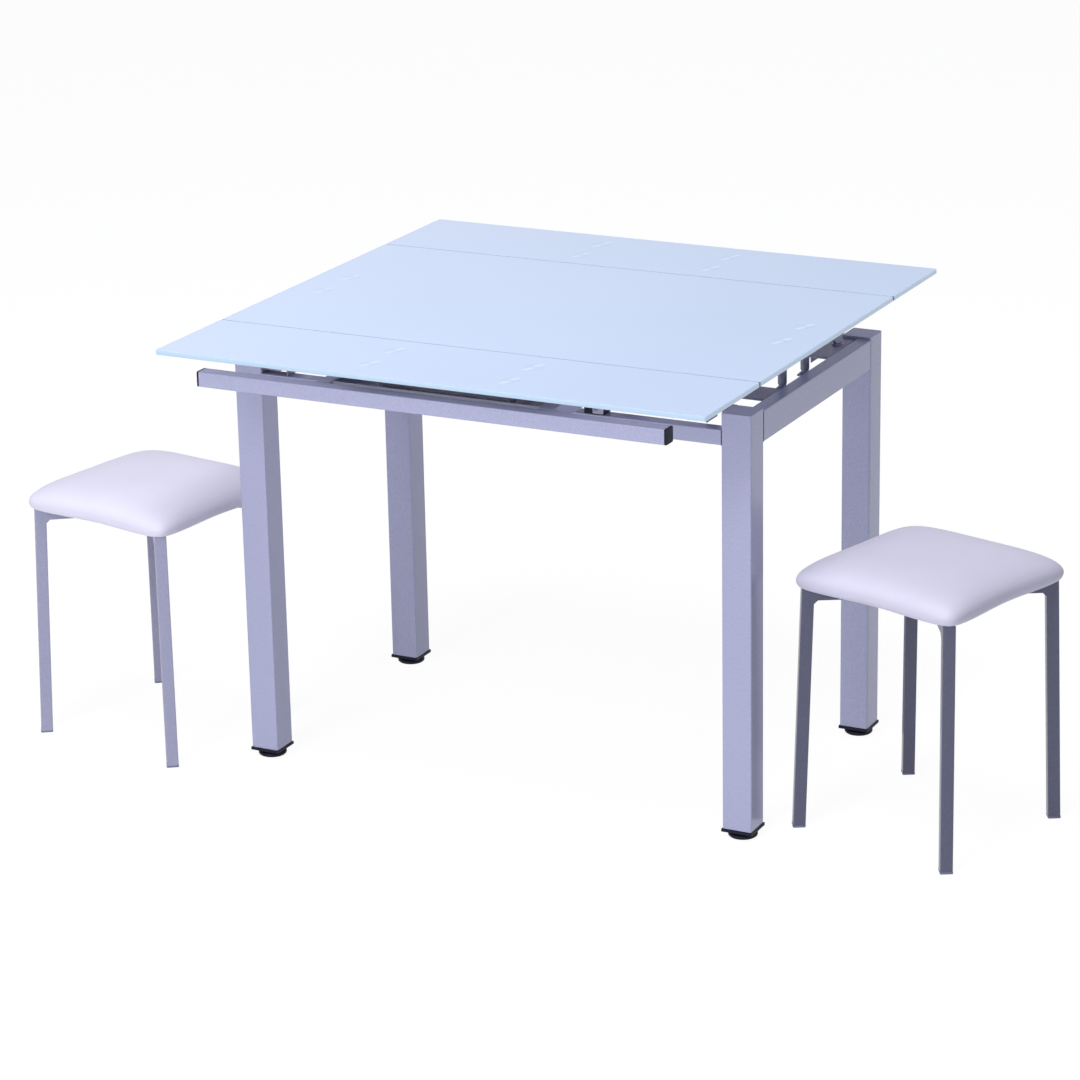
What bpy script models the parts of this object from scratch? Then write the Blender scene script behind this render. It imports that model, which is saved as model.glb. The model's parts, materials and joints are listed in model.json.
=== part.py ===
# Kitchen table with two glass leaves and two upholstered stools, in metres, +Z up.
# The table stands closed on its frame with both leaves drawn out and raised level with the centre glass.
# The origin is on the floor, under the middle of the whole set. +X is along the glass seams.

import math

import bmesh
import bpy
from mathutils import Matrix, Vector

# Table top
glass_length = 0.950
centre_glass_depth = 0.550
leaf_glass_depth = 0.200
glass_thickness = 0.008
glass_corner_bevel = 0.0012
seam_gap = 0.001
table_height = 0.760

# Table frame: square legs, upright side rails and low long rails
frame_length = 0.915
frame_depth = 0.540
leg_side = 0.050
leg_wall = 0.0015
leg_corner = 0.003
leg_top_below_glass_top = 0.058
side_rail_width = 0.025
side_rail_height = 0.050
side_rail_below_leg_top = 0.004
long_rail_side = 0.025
long_rail_below_leg_top = 0.027
rail_wall = 0.0015
rail_corner = 0.002
weld_gap = 0.0003
cross_plate_width = 0.064
cross_plate_thickness = 0.004
cross_plate_from_middle = 0.130

# Feet of the table: a square insert in each leg and a round glide on a threaded stem
insert_flange_side = 0.0525
insert_flange_height = 0.0048
insert_plug_height = 0.018
insert_plug_clearance = 0.0008
stem_radius = 0.004
stem_clearance = 0.0004
stem_length = 0.034
glide_radius = 0.0238
glide_height = 0.0115
glide_edge = 0.003
glide_neck_radius = 0.016

# Posts that carry the centre glass, each on an angle fixed inside a side rail
post_from_rail = 0.0185
post_from_middle = 0.046
post_radius = 0.00725
post_bottom_below_rail_top = 0.008
post_pad_radius = 0.013
post_pad_thickness = 0.002
post_stem_radius = 0.004
angle_width = 0.022
angle_thickness = 0.003
angle_reach = 0.0275
angle_top_below_rail_top = 0.015
angle_bottom_below_rail_top = 0.043
bond_gap = 0.0003

# Folded brackets: one inside the back right corner, and two beside the front legs at the long rail
corner_bracket_width = 0.055
corner_bracket_height = 0.032
bracket_wall = 0.002
low_bracket_length = 0.050
low_bracket_height = 0.0112
low_bracket_depth = 0.055
tall_bracket_length = 0.036
tall_bracket_height = 0.0225
tall_bracket_depth = 0.040

# Carriage of each leaf: pull bar, two arms and a folded tray between them
carriage_side = 0.025
carriage_wall = 0.0015
carriage_corner = 0.002
carriage_top_below_glass_top = 0.0305
bar_length = 0.806
bar_behind_leaf_edge = 0.010
front_arm_spacing = 0.385
arm_passing_gap = 0.005
arm_end_from_middle = 0.085
tray_sheet = 0.002
tray_behind_bar = 0.010
tray_depth = 0.130
cap_head = 0.003
cap_neck = 0.012
cap_clearance = 0.0004
guide_cheek = 0.004
guide_length = 0.026
guide_cheek_height = 0.012
guide_clearance = 0.0004

# Lift of each leaf: two bent rods that turn in ears on the tray and in brackets bonded to the glass
lift_spacing = 0.244
rod_radius = 0.0025
rod_clearance = 0.00015
rod_bend_radius = 0.004
rod_past_bracket = 0.002
crank_length = 0.026
crank_lean = math.radians(8)
front_pivot_from_leaf_edge = 0.085
pivot_pitch = 0.060
pivot_above_tray = 0.010
ear_thickness = 0.002
ear_margin = 0.0065
crank_inside_bracket = 0.0055
ear_inside_crank = 0.0065
leaf_bracket_width = 0.020
leaf_bracket_thickness = 0.003
leaf_bracket_length = 0.128
leaf_bracket_outward = 0.017
lug_thickness = 0.003
lug_radius = 0.005

# Stools: two crossed hoops of square tube under a padded square seat
stool_seat_height = 0.455
stool_frame_height = 0.402
stool_foot_radius = 0.2045
stool_top_radius = 0.192
stool_tube = 0.020
stool_wall = 0.0015
stool_corner = 0.002
stool_inner_chamfer = 0.006
cushion_side = 0.322
cushion_edge_height = 0.036
cushion_corner_drop = 0.010
cushion_lower_inset = 0.003
cushion_upper_inset = 0.013
cushion_side_pull = 0.004
board_side = 0.262
board_thickness = 0.009
board_clearance = 0.0004

# Shapes of the cushion, as powers: how square its plan is, and how its rim, corners and crown curve
cushion_squareness = 12
cushion_lower_power = 2.5
cushion_upper_power = 2.2
cushion_corner_power = 4
cushion_crown_power = 2.6
cushion_divisions = 9

# How far the cushion's mesh is gathered towards its edges, from 0 for an even grid
cushion_gather = 0.5

# Where the stools stand: how far outside the legs and forward of the middle, and how far turned
stool_beyond_legs = 0.2185
right_stool_forward = 0.072
right_stool_turn = math.radians(-15.7)
left_stool_forward = 0.1945
left_stool_turn = math.radians(-9.9)

# How far a cutter runs past the face it opens, and how finely round pieces are divided
cut_overrun = 0.002
round_segments = 24
rod_rings = 4
bend_steps = 5

# Heights and places that follow from the sizes above
glass_bottom = table_height - glass_thickness
leg_top = table_height - leg_top_below_glass_top
side_rail_top = leg_top - side_rail_below_leg_top
long_rail_top = leg_top - long_rail_below_leg_top
leg_bottom = glide_height + insert_flange_height + 2 * weld_gap
side_rail_inner = frame_length / 2 - side_rail_width
bracket_top = glass_bottom - bond_gap
carriage_top = table_height - carriage_top_below_glass_top
carriage_bottom = carriage_top - carriage_side
half_depth = centre_glass_depth / 2 + seam_gap + leaf_glass_depth
bar_outer_face = half_depth - bar_behind_leaf_edge
bar_inner_face = bar_outer_face - carriage_side
tray_outer_face = bar_inner_face - tray_behind_bar
tray_inner_face = tray_outer_face - tray_depth
back_arm_spacing = front_arm_spacing + 2 * (carriage_side + arm_passing_gap)
pivot_height = carriage_bottom + tray_sheet + pivot_above_tray
outer_pivot = half_depth - front_pivot_from_leaf_edge
inner_pivot = outer_pivot - pivot_pitch
crank_rise = crank_length * math.cos(crank_lean)
crank_shift = crank_length * math.sin(crank_lean)
crank_from_middle = lift_spacing / 2 - crank_inside_bracket
ear_from_middle = crank_from_middle - ear_inside_crank
stool_from_middle = frame_length / 2 + stool_beyond_legs
right_stool_place = Vector((stool_from_middle, -right_stool_forward, 0.0))
left_stool_place = Vector((-stool_from_middle, -left_stool_forward, 0.0))


def stool_reach(turn):
    """How far a stool reaches along X from its middle, at the corners of its feet."""
    angle = turn + math.pi / 4
    return (stool_foot_radius + stool_tube / 2) * math.cos(angle) + stool_tube / 2 * math.sin(angle)


set_right = right_stool_place.x + stool_reach(right_stool_turn)
set_left = left_stool_place.x - stool_reach(left_stool_turn)
table_place = Vector((-(set_right + set_left) / 2, 0.0, 0.0))

# Axes as plain words
x_axis, y_axis, z_axis = "X", "Y", "Z"
axis_turns = {
    x_axis: Matrix.Rotation(math.pi / 2, 4, "Y"),
    y_axis: Matrix.Rotation(-math.pi / 2, 4, "X"),
    z_axis: Matrix.Identity(4),
}


# Scene, collections and materials
def clear_scene():
    for item in list(bpy.data.objects):
        bpy.data.objects.remove(item, do_unlink=True)


def new_collection(name):
    group = bpy.data.collections.new(name)
    bpy.context.scene.collection.children.link(group)
    return group


clear_scene()
parts = new_collection("kitchen_table_set")
cutters = new_collection("cutters")


def make_material(name, colour, roughness, metallic=0.0, transmission=0.0):
    material = bpy.data.materials.new(name)
    material.use_nodes = True
    shader = material.node_tree.nodes["Principled BSDF"]
    shader.inputs["Base Color"].default_value = (*colour, 1.0)
    shader.inputs["Roughness"].default_value = roughness
    shader.inputs["Metallic"].default_value = metallic
    shader.inputs["Transmission Weight"].default_value = transmission
    material.diffuse_color = (*colour, 1.0)
    return material


silver_paint = make_material("silver_grey_paint", (0.36, 0.36, 0.47), 0.38, 0.25)
frosted_glass = make_material("pale_blue_glass", (0.62, 0.74, 0.93), 0.12, 0.0, 0.2)
black_plastic = make_material("black_plastic", (0.015, 0.015, 0.02), 0.45)
zinc_steel = make_material("zinc_plated_steel", (0.30, 0.30, 0.34), 0.3, 0.9)
white_leatherette = make_material("white_leatherette", (0.78, 0.78, 0.90), 0.45)
plywood = make_material("plywood", (0.45, 0.32, 0.19), 0.7)


# Objects and parents
def empty(name, place, parent=None, turn=0.0):
    point = bpy.data.objects.new(name, None)
    parts.objects.link(point)
    point.location = place
    point.rotation_euler.z = turn
    point.parent = parent
    return point


def add_object(name, bm, material, parent, origin=Vector(), smooth=False, group=parts):
    """Puts a bmesh into a named object whose origin is at the given point of its parent's space."""
    bmesh.ops.recalc_face_normals(bm, faces=bm.faces)
    bmesh.ops.translate(bm, verts=bm.verts, vec=-Vector(origin))
    mesh = bpy.data.meshes.new(name)
    bm.to_mesh(mesh)
    bm.free()
    if smooth:
        mesh.shade_smooth()
        mesh.set_sharp_from_angle(angle=math.radians(35))
    item = bpy.data.objects.new(name, mesh)
    group.objects.link(item)
    item.location = origin
    item.parent = parent
    if material is not None:
        mesh.materials.append(material)
    return item


def cutter(name, bm, parent, origin=Vector()):
    item = add_object(name, bm, None, parent, origin, group=cutters)
    item.hide_render = True
    item.display_type = "WIRE"
    return item


def cut(item, tool, operation="DIFFERENCE"):
    modifier = item.modifiers.new(operation.lower(), "BOOLEAN")
    modifier.object = tool
    modifier.operation = operation
    modifier.solver = "EXACT"


def bevel(item, width, segments=1):
    modifier = item.modifiers.new("edge", "BEVEL")
    modifier.width = width
    modifier.segments = segments
    modifier.limit_method = "ANGLE"


# Solid shapes added to a bmesh
def add_box(bm, low, high):
    low, high = Vector(low), Vector(high)
    size = high - low
    place = Matrix.Translation((low + high) / 2) @ Matrix.Diagonal((*size, 1.0))
    return bmesh.ops.create_cube(bm, size=1.0, matrix=place)["verts"]


def add_cylinder(bm, radius, length, centre, axis):
    place = Matrix.Translation(Vector(centre)) @ axis_turns[axis]
    return bmesh.ops.create_cone(
        bm,
        cap_ends=True,
        segments=round_segments,
        radius1=radius,
        radius2=radius,
        depth=length,
        matrix=place,
    )["verts"]


def add_turned(bm, centre, profile):
    """A closed solid turned about Z, from its (radius, height) points from the bottom up."""
    rings = []
    for radius, height in profile:
        ring = []
        for i in range(round_segments):
            angle = 2 * math.pi * i / round_segments
            x = centre.x + radius * math.cos(angle)
            y = centre.y + radius * math.sin(angle)
            ring.append(bm.verts.new((x, y, height)))
        rings.append(ring)
    for lower, upper in zip(rings, rings[1:]):
        for i in range(round_segments):
            following = (i + 1) % round_segments
            bm.faces.new((lower[i], lower[following], upper[following], upper[i]))
    bm.faces.new(rings[0])
    bm.faces.new(rings[-1])


def add_lug(bm, eye, top):
    """An upright plate across X that is round at its lower end, as the hull of a disc and a box."""
    shapes = bmesh.new()
    half = lug_thickness / 2
    add_cylinder(shapes, lug_radius, lug_thickness, eye, x_axis)
    low = (eye.x - half, eye.y - lug_radius, eye.z)
    add_box(shapes, low, (eye.x + half, eye.y + lug_radius, top))
    points = [bm.verts.new(vert.co) for vert in shapes.verts]
    shapes.free()
    hull = bmesh.ops.convex_hull(bm, input=points)
    spare = {item for item in hull["geom_interior"] + hull["geom_unused"] if item in points}
    bmesh.ops.delete(bm, geom=list(spare), context="VERTS")


def add_stepped_plug(bm, base, direction, head_side, head_height, neck_side, neck_height):
    """A square head with a smaller square neck that goes into a tube, both along the direction."""
    direction = Vector(direction)
    place = Matrix.Translation(Vector(base)) @ direction.to_track_quat("Z", "Y").to_matrix().to_4x4()
    middle = Matrix.Translation((0.0, 0.0, head_height / 2))
    head = middle @ Matrix.Diagonal((head_side, head_side, head_height, 1.0))
    made = bmesh.ops.create_cube(bm, size=1.0, matrix=place @ head)["verts"]
    faces = {face for vert in made for face in vert.link_faces}
    top = max(faces, key=lambda face: face.calc_center_median().dot(direction))
    step = (head_side - neck_side) / 2
    bmesh.ops.inset_individual(bm, faces=[top], thickness=step, use_even_offset=True)
    lifted = bmesh.ops.extrude_face_region(bm, geom=[top])["geom"]
    moved = [item for item in lifted if isinstance(item, bmesh.types.BMVert)]
    if top.is_valid:
        bmesh.ops.delete(bm, geom=[top], context="FACES_ONLY")
    bmesh.ops.translate(bm, verts=moved, vec=direction * neck_height)


def open_tube(bm, low, high, open_faces, corner):
    """The outer skin of a box tube: long edges rounded, the faces on the named sides left open."""
    verts = add_box(bm, low, high)
    faces = {face for vert in verts for face in vert.link_faces}
    lengths = [end - start for start, end in zip(low, high)]
    along = lengths.index(max(lengths))
    edges = {edge for vert in verts for edge in vert.link_edges}
    long_edges = [edge for edge in edges if edge.verts[0].co[along] != edge.verts[1].co[along]]
    opened = [face for face in faces if any(face.normal.dot(Vector(side)) > 0.5 for side in open_faces)]
    bmesh.ops.delete(bm, geom=opened, context="FACES_ONLY")
    bmesh.ops.bevel(bm, geom=long_edges, offset=corner, segments=2, profile=0.5, affect="EDGES")


def thicken(item, thickness, offset):
    """Gives an open surface its wall: offset -1 goes inwards, 0 to both sides."""
    skin = item.modifiers.new("wall", "SOLIDIFY")
    skin.thickness = thickness
    skin.offset = offset
    skin.use_even_offset = True


def tube(name, low, high, wall, corner, open_faces, parent):
    """A square tube between two corners."""
    bm = bmesh.new()
    open_tube(bm, low, high, open_faces, corner)
    item = add_object(name, bm, silver_paint, parent)
    thicken(item, wall, -1.0)
    return item


def folded_sheet(name, outline, start, end, sheet, material, parent, axis):
    """A sheet folded along an open outline of (across, height) points, running along the axis."""
    bm = bmesh.new()
    ends = []
    for along in (start, end):
        if axis == x_axis:
            ends.append([bm.verts.new((along, across, height)) for across, height in outline])
        else:
            ends.append([bm.verts.new((across, along, height)) for across, height in outline])
    for i in range(len(outline) - 1):
        bm.faces.new((ends[0][i], ends[0][i + 1], ends[1][i + 1], ends[1][i]))
    item = add_object(name, bm, material, parent)
    thicken(item, sheet, 0.0)
    return item


corners = {
    "front_left": (-1, -1),
    "front_right": (1, -1),
    "back_left": (-1, 1),
    "back_right": (1, 1),
}
ends_along_x = ((-1, 0, 0), (1, 0, 0))
ends_along_y = ((0, -1, 0), (0, 1, 0))


# Legs, inserts and glides
def leg_middle(side_x, side_y):
    return Vector((side_x * (frame_length - leg_side) / 2, side_y * (frame_depth - leg_side) / 2, 0.0))


def make_leg(name, side_x, side_y, table):
    middle = leg_middle(side_x, side_y)
    half = leg_side / 2
    low = (middle.x - half, middle.y - half, leg_bottom)
    high = (middle.x + half, middle.y + half, leg_top)
    tube("leg_" + name, low, high, leg_wall, leg_corner, [(0, 0, -1)], table)


def make_insert(name, side_x, side_y, table):
    bm = bmesh.new()
    neck = leg_side - 2 * (leg_wall + insert_plug_clearance)
    base = leg_middle(side_x, side_y) + Vector((0.0, 0.0, glide_height + weld_gap))
    add_stepped_plug(bm, base, (0, 0, 1), insert_flange_side, insert_flange_height, neck, insert_plug_height)
    insert = add_object("foot_insert_" + name, bm, black_plastic, table)
    hole = bmesh.new()
    height = insert_flange_height + insert_plug_height + 2 * cut_overrun
    centre = base + Vector((0.0, 0.0, height / 2 - cut_overrun))
    add_cylinder(hole, stem_radius + stem_clearance, height, centre, z_axis)
    cut(insert, cutter("stem_hole_" + name, hole, table))


def make_glide(name, side_x, side_y, table):
    """A turned glide: a round pad with a softened edge, a neck and the stem above it."""
    profile = [
        (0.0, stem_length + glide_height),
        (stem_radius, stem_length + glide_height),
        (stem_radius, glide_height),
        (glide_neck_radius, glide_height),
        (glide_radius - glide_edge, glide_height - glide_edge / 2),
        (glide_radius, glide_height - 1.5 * glide_edge),
        (glide_radius, glide_edge / 3),
        (glide_radius - glide_edge / 3, 0.0),
        (0.0, 0.0),
    ]
    bm = bmesh.new()
    ring = [bm.verts.new((radius, 0.0, height)) for radius, height in profile]
    for start, end in zip(ring, ring[1:]):
        bm.edges.new((start, end))
    mesh = bpy.data.meshes.new("glide_" + name)
    bm.to_mesh(mesh)
    bm.free()
    mesh.materials.append(black_plastic)
    glide = bpy.data.objects.new("glide_" + name, mesh)
    parts.objects.link(glide)
    glide.parent = table
    glide.location = leg_middle(side_x, side_y)
    turn = glide.modifiers.new("turned", "SCREW")
    turn.steps = round_segments
    turn.render_steps = round_segments
    turn.use_merge_vertices = True
    turn.merge_threshold = 0.00001
    turn.use_smooth_shade = True


# Rails and cross plates
def make_rails(table):
    leg_inner_y = frame_depth / 2 - leg_side
    leg_inner_x = frame_length / 2 - leg_side
    reach_y = leg_inner_y - weld_gap
    reach_x = leg_inner_x - weld_gap
    for name, side in (("left", -1), ("right", 1)):
        outer, inner = side * frame_length / 2, side * side_rail_inner
        low = (min(outer, inner), -reach_y, side_rail_top - side_rail_height)
        high = (max(outer, inner), reach_y, side_rail_top)
        tube("side_rail_" + name, low, high, rail_wall, rail_corner, ends_along_y, table)
    for name, side in (("front", -1), ("back", 1)):
        outer = side * frame_depth / 2
        inner = outer - side * long_rail_side
        low = (-reach_x, min(outer, inner), long_rail_top - long_rail_side)
        high = (reach_x, max(outer, inner), long_rail_top)
        tube("long_rail_" + name, low, high, rail_wall, rail_corner, ends_along_x, table)
        bm = bmesh.new()
        middle = side * cross_plate_from_middle
        half = cross_plate_width / 2
        reach = side_rail_inner - weld_gap
        low = (-reach, middle - half, side_rail_top - cross_plate_thickness)
        add_box(bm, low, (reach, middle + half, side_rail_top))
        add_object("cross_plate_" + name, bm, silver_paint, table)


# Posts of the centre glass
def make_post(name, side_x, side_y, table):
    """A round post with a pad under the glass, whose stem stands in an angle on the side rail."""
    outer = side_rail_inner - weld_gap
    y = side_y * post_from_middle
    half = angle_width / 2
    top = side_rail_top - angle_top_below_rail_top
    ledge, upright, round_post = bmesh.new(), bmesh.new(), bmesh.new()
    faces = sorted((side_x * outer, side_x * (outer - angle_reach)))
    add_box(ledge, (faces[0], y - half, top - angle_thickness), (faces[1], y + half, top))
    faces = sorted((side_x * outer, side_x * (outer - angle_thickness)))
    low = (faces[0], y - half, side_rail_top - angle_bottom_below_rail_top)
    add_box(upright, low, (faces[1], y + half, top))
    pad_bottom = bracket_top - post_pad_thickness
    profile = [
        (post_stem_radius, top - angle_thickness / 2),
        (post_stem_radius, side_rail_top - post_bottom_below_rail_top),
        (post_radius, side_rail_top - post_bottom_below_rail_top),
        (post_radius, pad_bottom),
        (post_pad_radius, pad_bottom),
        (post_pad_radius, bracket_top),
    ]
    add_turned(round_post, Vector((side_x * (side_rail_inner - post_from_rail), y, 0.0)), profile)
    post = add_object("glass_post_" + name, round_post, silver_paint, table)
    cut(post, cutter("post_ledge_" + name, ledge, table), "UNION")
    cut(post, cutter("post_upright_" + name, upright, table), "UNION")


# Folded brackets
def make_corner_bracket(name, side_x, side_y, table):
    """An inverted channel along Y, notched round the leg so that its inner side meets the long rail."""
    half = bracket_wall / 2
    outer = side_x * (side_rail_inner - weld_gap - half)
    inner = outer - side_x * corner_bracket_width
    top = side_rail_top - half
    bottom = side_rail_top - corner_bracket_height
    outline = [(outer, bottom), (outer, top), (inner, top), (inner, bottom)]
    start = side_y * (cross_plate_from_middle + cross_plate_width / 2 + weld_gap)
    stop = side_y * (frame_depth / 2 - long_rail_side - weld_gap)
    whole_name = "corner_bracket_" + name
    sheet = bracket_wall
    bracket = folded_sheet(whole_name, outline, start, stop, sheet, silver_paint, table, y_axis)
    notch = bmesh.new()
    faces_x = sorted((side_x * (frame_length / 2 - leg_side - weld_gap), side_x * frame_length / 2))
    faces_y = sorted((side_y * (frame_depth / 2 - leg_side - weld_gap), side_y * frame_depth / 2))
    low = (faces_x[0], faces_y[0], bottom - cut_overrun)
    add_box(notch, low, (faces_x[1], faces_y[1], side_rail_top + cut_overrun))
    cut(bracket, cutter("leg_notch_" + name, notch, table))


def make_rail_bracket(name, side_x, length, height, front, depth, table):
    """An inverted channel along Y against the inner face of a front leg, level with the long rail's top."""
    half = bracket_wall / 2
    outer = side_x * (frame_length / 2 - leg_side - weld_gap - half)
    inner = outer - side_x * (length - bracket_wall)
    bottom = long_rail_top + weld_gap
    top = bottom + height - half
    outline = [(outer, bottom), (outer, top), (inner, top), (inner, bottom)]
    back = front + depth
    folded_sheet("corner_bracket_" + name, outline, front, back, bracket_wall, silver_paint, table, y_axis)


# Glass
def make_glass(name, y_low, y_high, parent, origin=Vector()):
    bm = bmesh.new()
    half = glass_length / 2
    add_box(bm, (-half, y_low, glass_bottom), (half, y_high, table_height))
    glass = add_object(name, bm, frosted_glass, parent, origin)
    bevel(glass, glass_corner_bevel)


# Carriage of one leaf: side is -1 for the front leaf and +1 for the back one
def make_carriage(name, side, arm_spacing, table):
    bar_faces = sorted((side * bar_outer_face, side * bar_inner_face))
    low = (-bar_length / 2, bar_faces[0], carriage_bottom)
    high = (bar_length / 2, bar_faces[1], carriage_top)
    tube("pull_bar_" + name, low, high, carriage_wall, carriage_corner, ends_along_x, table)
    for end_name, end in (("left", -1), ("right", 1)):
        whole_name = name + "_" + end_name
        x = end * arm_spacing / 2
        faces = sorted((side * (bar_inner_face - weld_gap), side * arm_end_from_middle))
        low = (x - carriage_side / 2, faces[0], carriage_bottom)
        high = (x + carriage_side / 2, faces[1], carriage_top)
        tube("arm_" + whole_name, low, high, carriage_wall, carriage_corner, ends_along_y, table)
        make_bar_cap(whole_name, side, end, table)
        make_guide(whole_name, side, x, table)
    make_tray(name, side, arm_spacing, table)


def make_bar_cap(name, side, end, table):
    bm = bmesh.new()
    neck = carriage_side - 2 * (carriage_wall + cap_clearance)
    height = (carriage_bottom + carriage_top) / 2
    y = side * (bar_outer_face + bar_inner_face) / 2
    base = (end * (bar_length / 2 + weld_gap + cap_head), y, height)
    add_stepped_plug(bm, base, (-end, 0, 0), carriage_side, cap_head, neck, cap_neck)
    add_object("bar_cap_" + name, bm, black_plastic, table)


def make_guide(name, side, x, table):
    """A saddle block on the long rail, in which the arm runs."""
    block, groove = bmesh.new(), bmesh.new()
    y = side * (frame_depth / 2 - long_rail_side / 2)
    half = carriage_side / 2 + guide_clearance
    wide = half + guide_cheek
    reach = guide_length / 2
    top = carriage_bottom + guide_cheek_height
    add_box(block, (x - wide, y - reach, long_rail_top + weld_gap), (x + wide, y + reach, top))
    guide = add_object("arm_guide_" + name, block, black_plastic, table)
    run = reach + cut_overrun
    low = (x - half, y - run, carriage_bottom - guide_clearance)
    add_box(groove, low, (x + half, y + run, top + cut_overrun))
    cut(guide, cutter("arm_groove_" + name, groove, table))


def make_tray(name, side, arm_spacing, table):
    """A sheet folded up at both long edges, with an upright ear for the rods of each lift."""
    half = tray_sheet / 2
    reach = (arm_spacing - carriage_side) / 2 - weld_gap
    floor = carriage_bottom + half
    outer, inner = side * (tray_outer_face - half), side * (tray_inner_face + half)
    outline = [(outer, carriage_top), (outer, floor), (inner, floor), (inner, carriage_top)]
    tray = folded_sheet("tray_" + name, outline, -reach, reach, tray_sheet, zinc_steel, table, x_axis)
    ears, holes = bmesh.new(), bmesh.new()
    margin = rod_radius + ear_margin
    y_range = sorted((side * (outer_pivot + margin), side * (inner_pivot - margin)))
    for lift in (-1, 1):
        x = lift * ear_from_middle
        low = (x - ear_thickness / 2, y_range[0], floor)
        add_box(ears, low, (x + ear_thickness / 2, y_range[1], pivot_height + margin))
        for pivot in (outer_pivot, inner_pivot):
            length = ear_thickness + 2 * cut_overrun
            centre = (x, side * pivot, pivot_height)
            add_cylinder(holes, rod_radius + rod_clearance, length, centre, x_axis)
    cut(tray, cutter("ears_" + name, ears, table), "UNION")
    cut(tray, cutter("ear_holes_" + name, holes, table))


# Lift of one leaf
def bent_path(corners_of_path, radius):
    """The points of a path whose inner corners are rounded to the radius."""
    points = [corners_of_path[0]]
    for before, corner, after in zip(corners_of_path, corners_of_path[1:], corners_of_path[2:]):
        arrive = (before - corner).normalized()
        leave = (after - corner).normalized()
        centre = corner + (arrive + leave) * radius
        start = corner + arrive * radius - centre
        stop = corner + leave * radius - centre
        for i in range(bend_steps + 1):
            angle = math.pi / 2 * i / bend_steps
            points.append(centre + start * math.cos(angle) + stop * math.sin(angle))
    points.append(corners_of_path[-1])
    return points


def make_rod(name, side, pivot, table):
    """A bent rod: its long shaft turns in the ears, and its raised ends carry the leaf's brackets."""
    shift = Vector((0.0, -side * crank_shift, crank_rise))
    end = lift_spacing / 2 + lug_thickness / 2 + rod_past_bracket
    low_left = Vector((-crank_from_middle, 0.0, 0.0))
    low_right = Vector((crank_from_middle, 0.0, 0.0))
    left_end = Vector((-end, 0.0, 0.0)) + shift
    right_end = Vector((end, 0.0, 0.0)) + shift
    path = [left_end, low_left + shift, low_left, low_right, low_right + shift, right_end]
    points = bent_path(path, rod_bend_radius)
    curve = bpy.data.curves.new(name, "CURVE")
    curve.dimensions = "3D"
    curve.bevel_depth = rod_radius
    curve.bevel_resolution = rod_rings
    curve.use_fill_caps = True
    spline = curve.splines.new("POLY")
    spline.points.add(len(points) - 1)
    for spot, point in zip(spline.points, points):
        spot.co = (*point, 1.0)
    curve.materials.append(zinc_steel)
    rod = bpy.data.objects.new(name, curve)
    parts.objects.link(rod)
    rod.location = (0.0, side * pivot, pivot_height)
    rod.parent = table


def make_leaf(name, side, table):
    """The leaf's glass and brackets, whose origins are on the upper line of its outer rod."""
    origin = Vector((0.0, side * (outer_pivot - crank_shift), pivot_height + crank_rise))
    y_faces = sorted((side * (centre_glass_depth / 2 + seam_gap), side * half_depth))
    make_glass("glass_leaf_" + name, y_faces[0], y_faces[1], table, origin)
    upper = [side * (pivot - crank_shift) for pivot in (outer_pivot, inner_pivot)]
    middle = sum(upper) / 2 + side * leaf_bracket_outward
    plate_bottom = bracket_top - leaf_bracket_thickness
    for lift_name, lift in (("left", -1), ("right", 1)):
        whole_name = name + "_" + lift_name
        x = lift * lift_spacing / 2
        plate, lugs, holes = bmesh.new(), bmesh.new(), bmesh.new()
        reach = leaf_bracket_length / 2
        low = (x - leaf_bracket_width / 2, middle - reach, plate_bottom)
        add_box(plate, low, (x + leaf_bracket_width / 2, middle + reach, bracket_top))
        for y in upper:
            eye = Vector((x, y, origin.z))
            add_lug(lugs, eye, bracket_top - leaf_bracket_thickness / 2)
            length = lug_thickness + 2 * cut_overrun
            add_cylinder(holes, rod_radius + rod_clearance, length, eye, x_axis)
        bracket = add_object("leaf_bracket_" + whole_name, plate, zinc_steel, table, origin)
        cut(bracket, cutter("lugs_" + whole_name, lugs, table, origin), "UNION")
        cut(bracket, cutter("lug_holes_" + whole_name, holes, table, origin))


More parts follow.
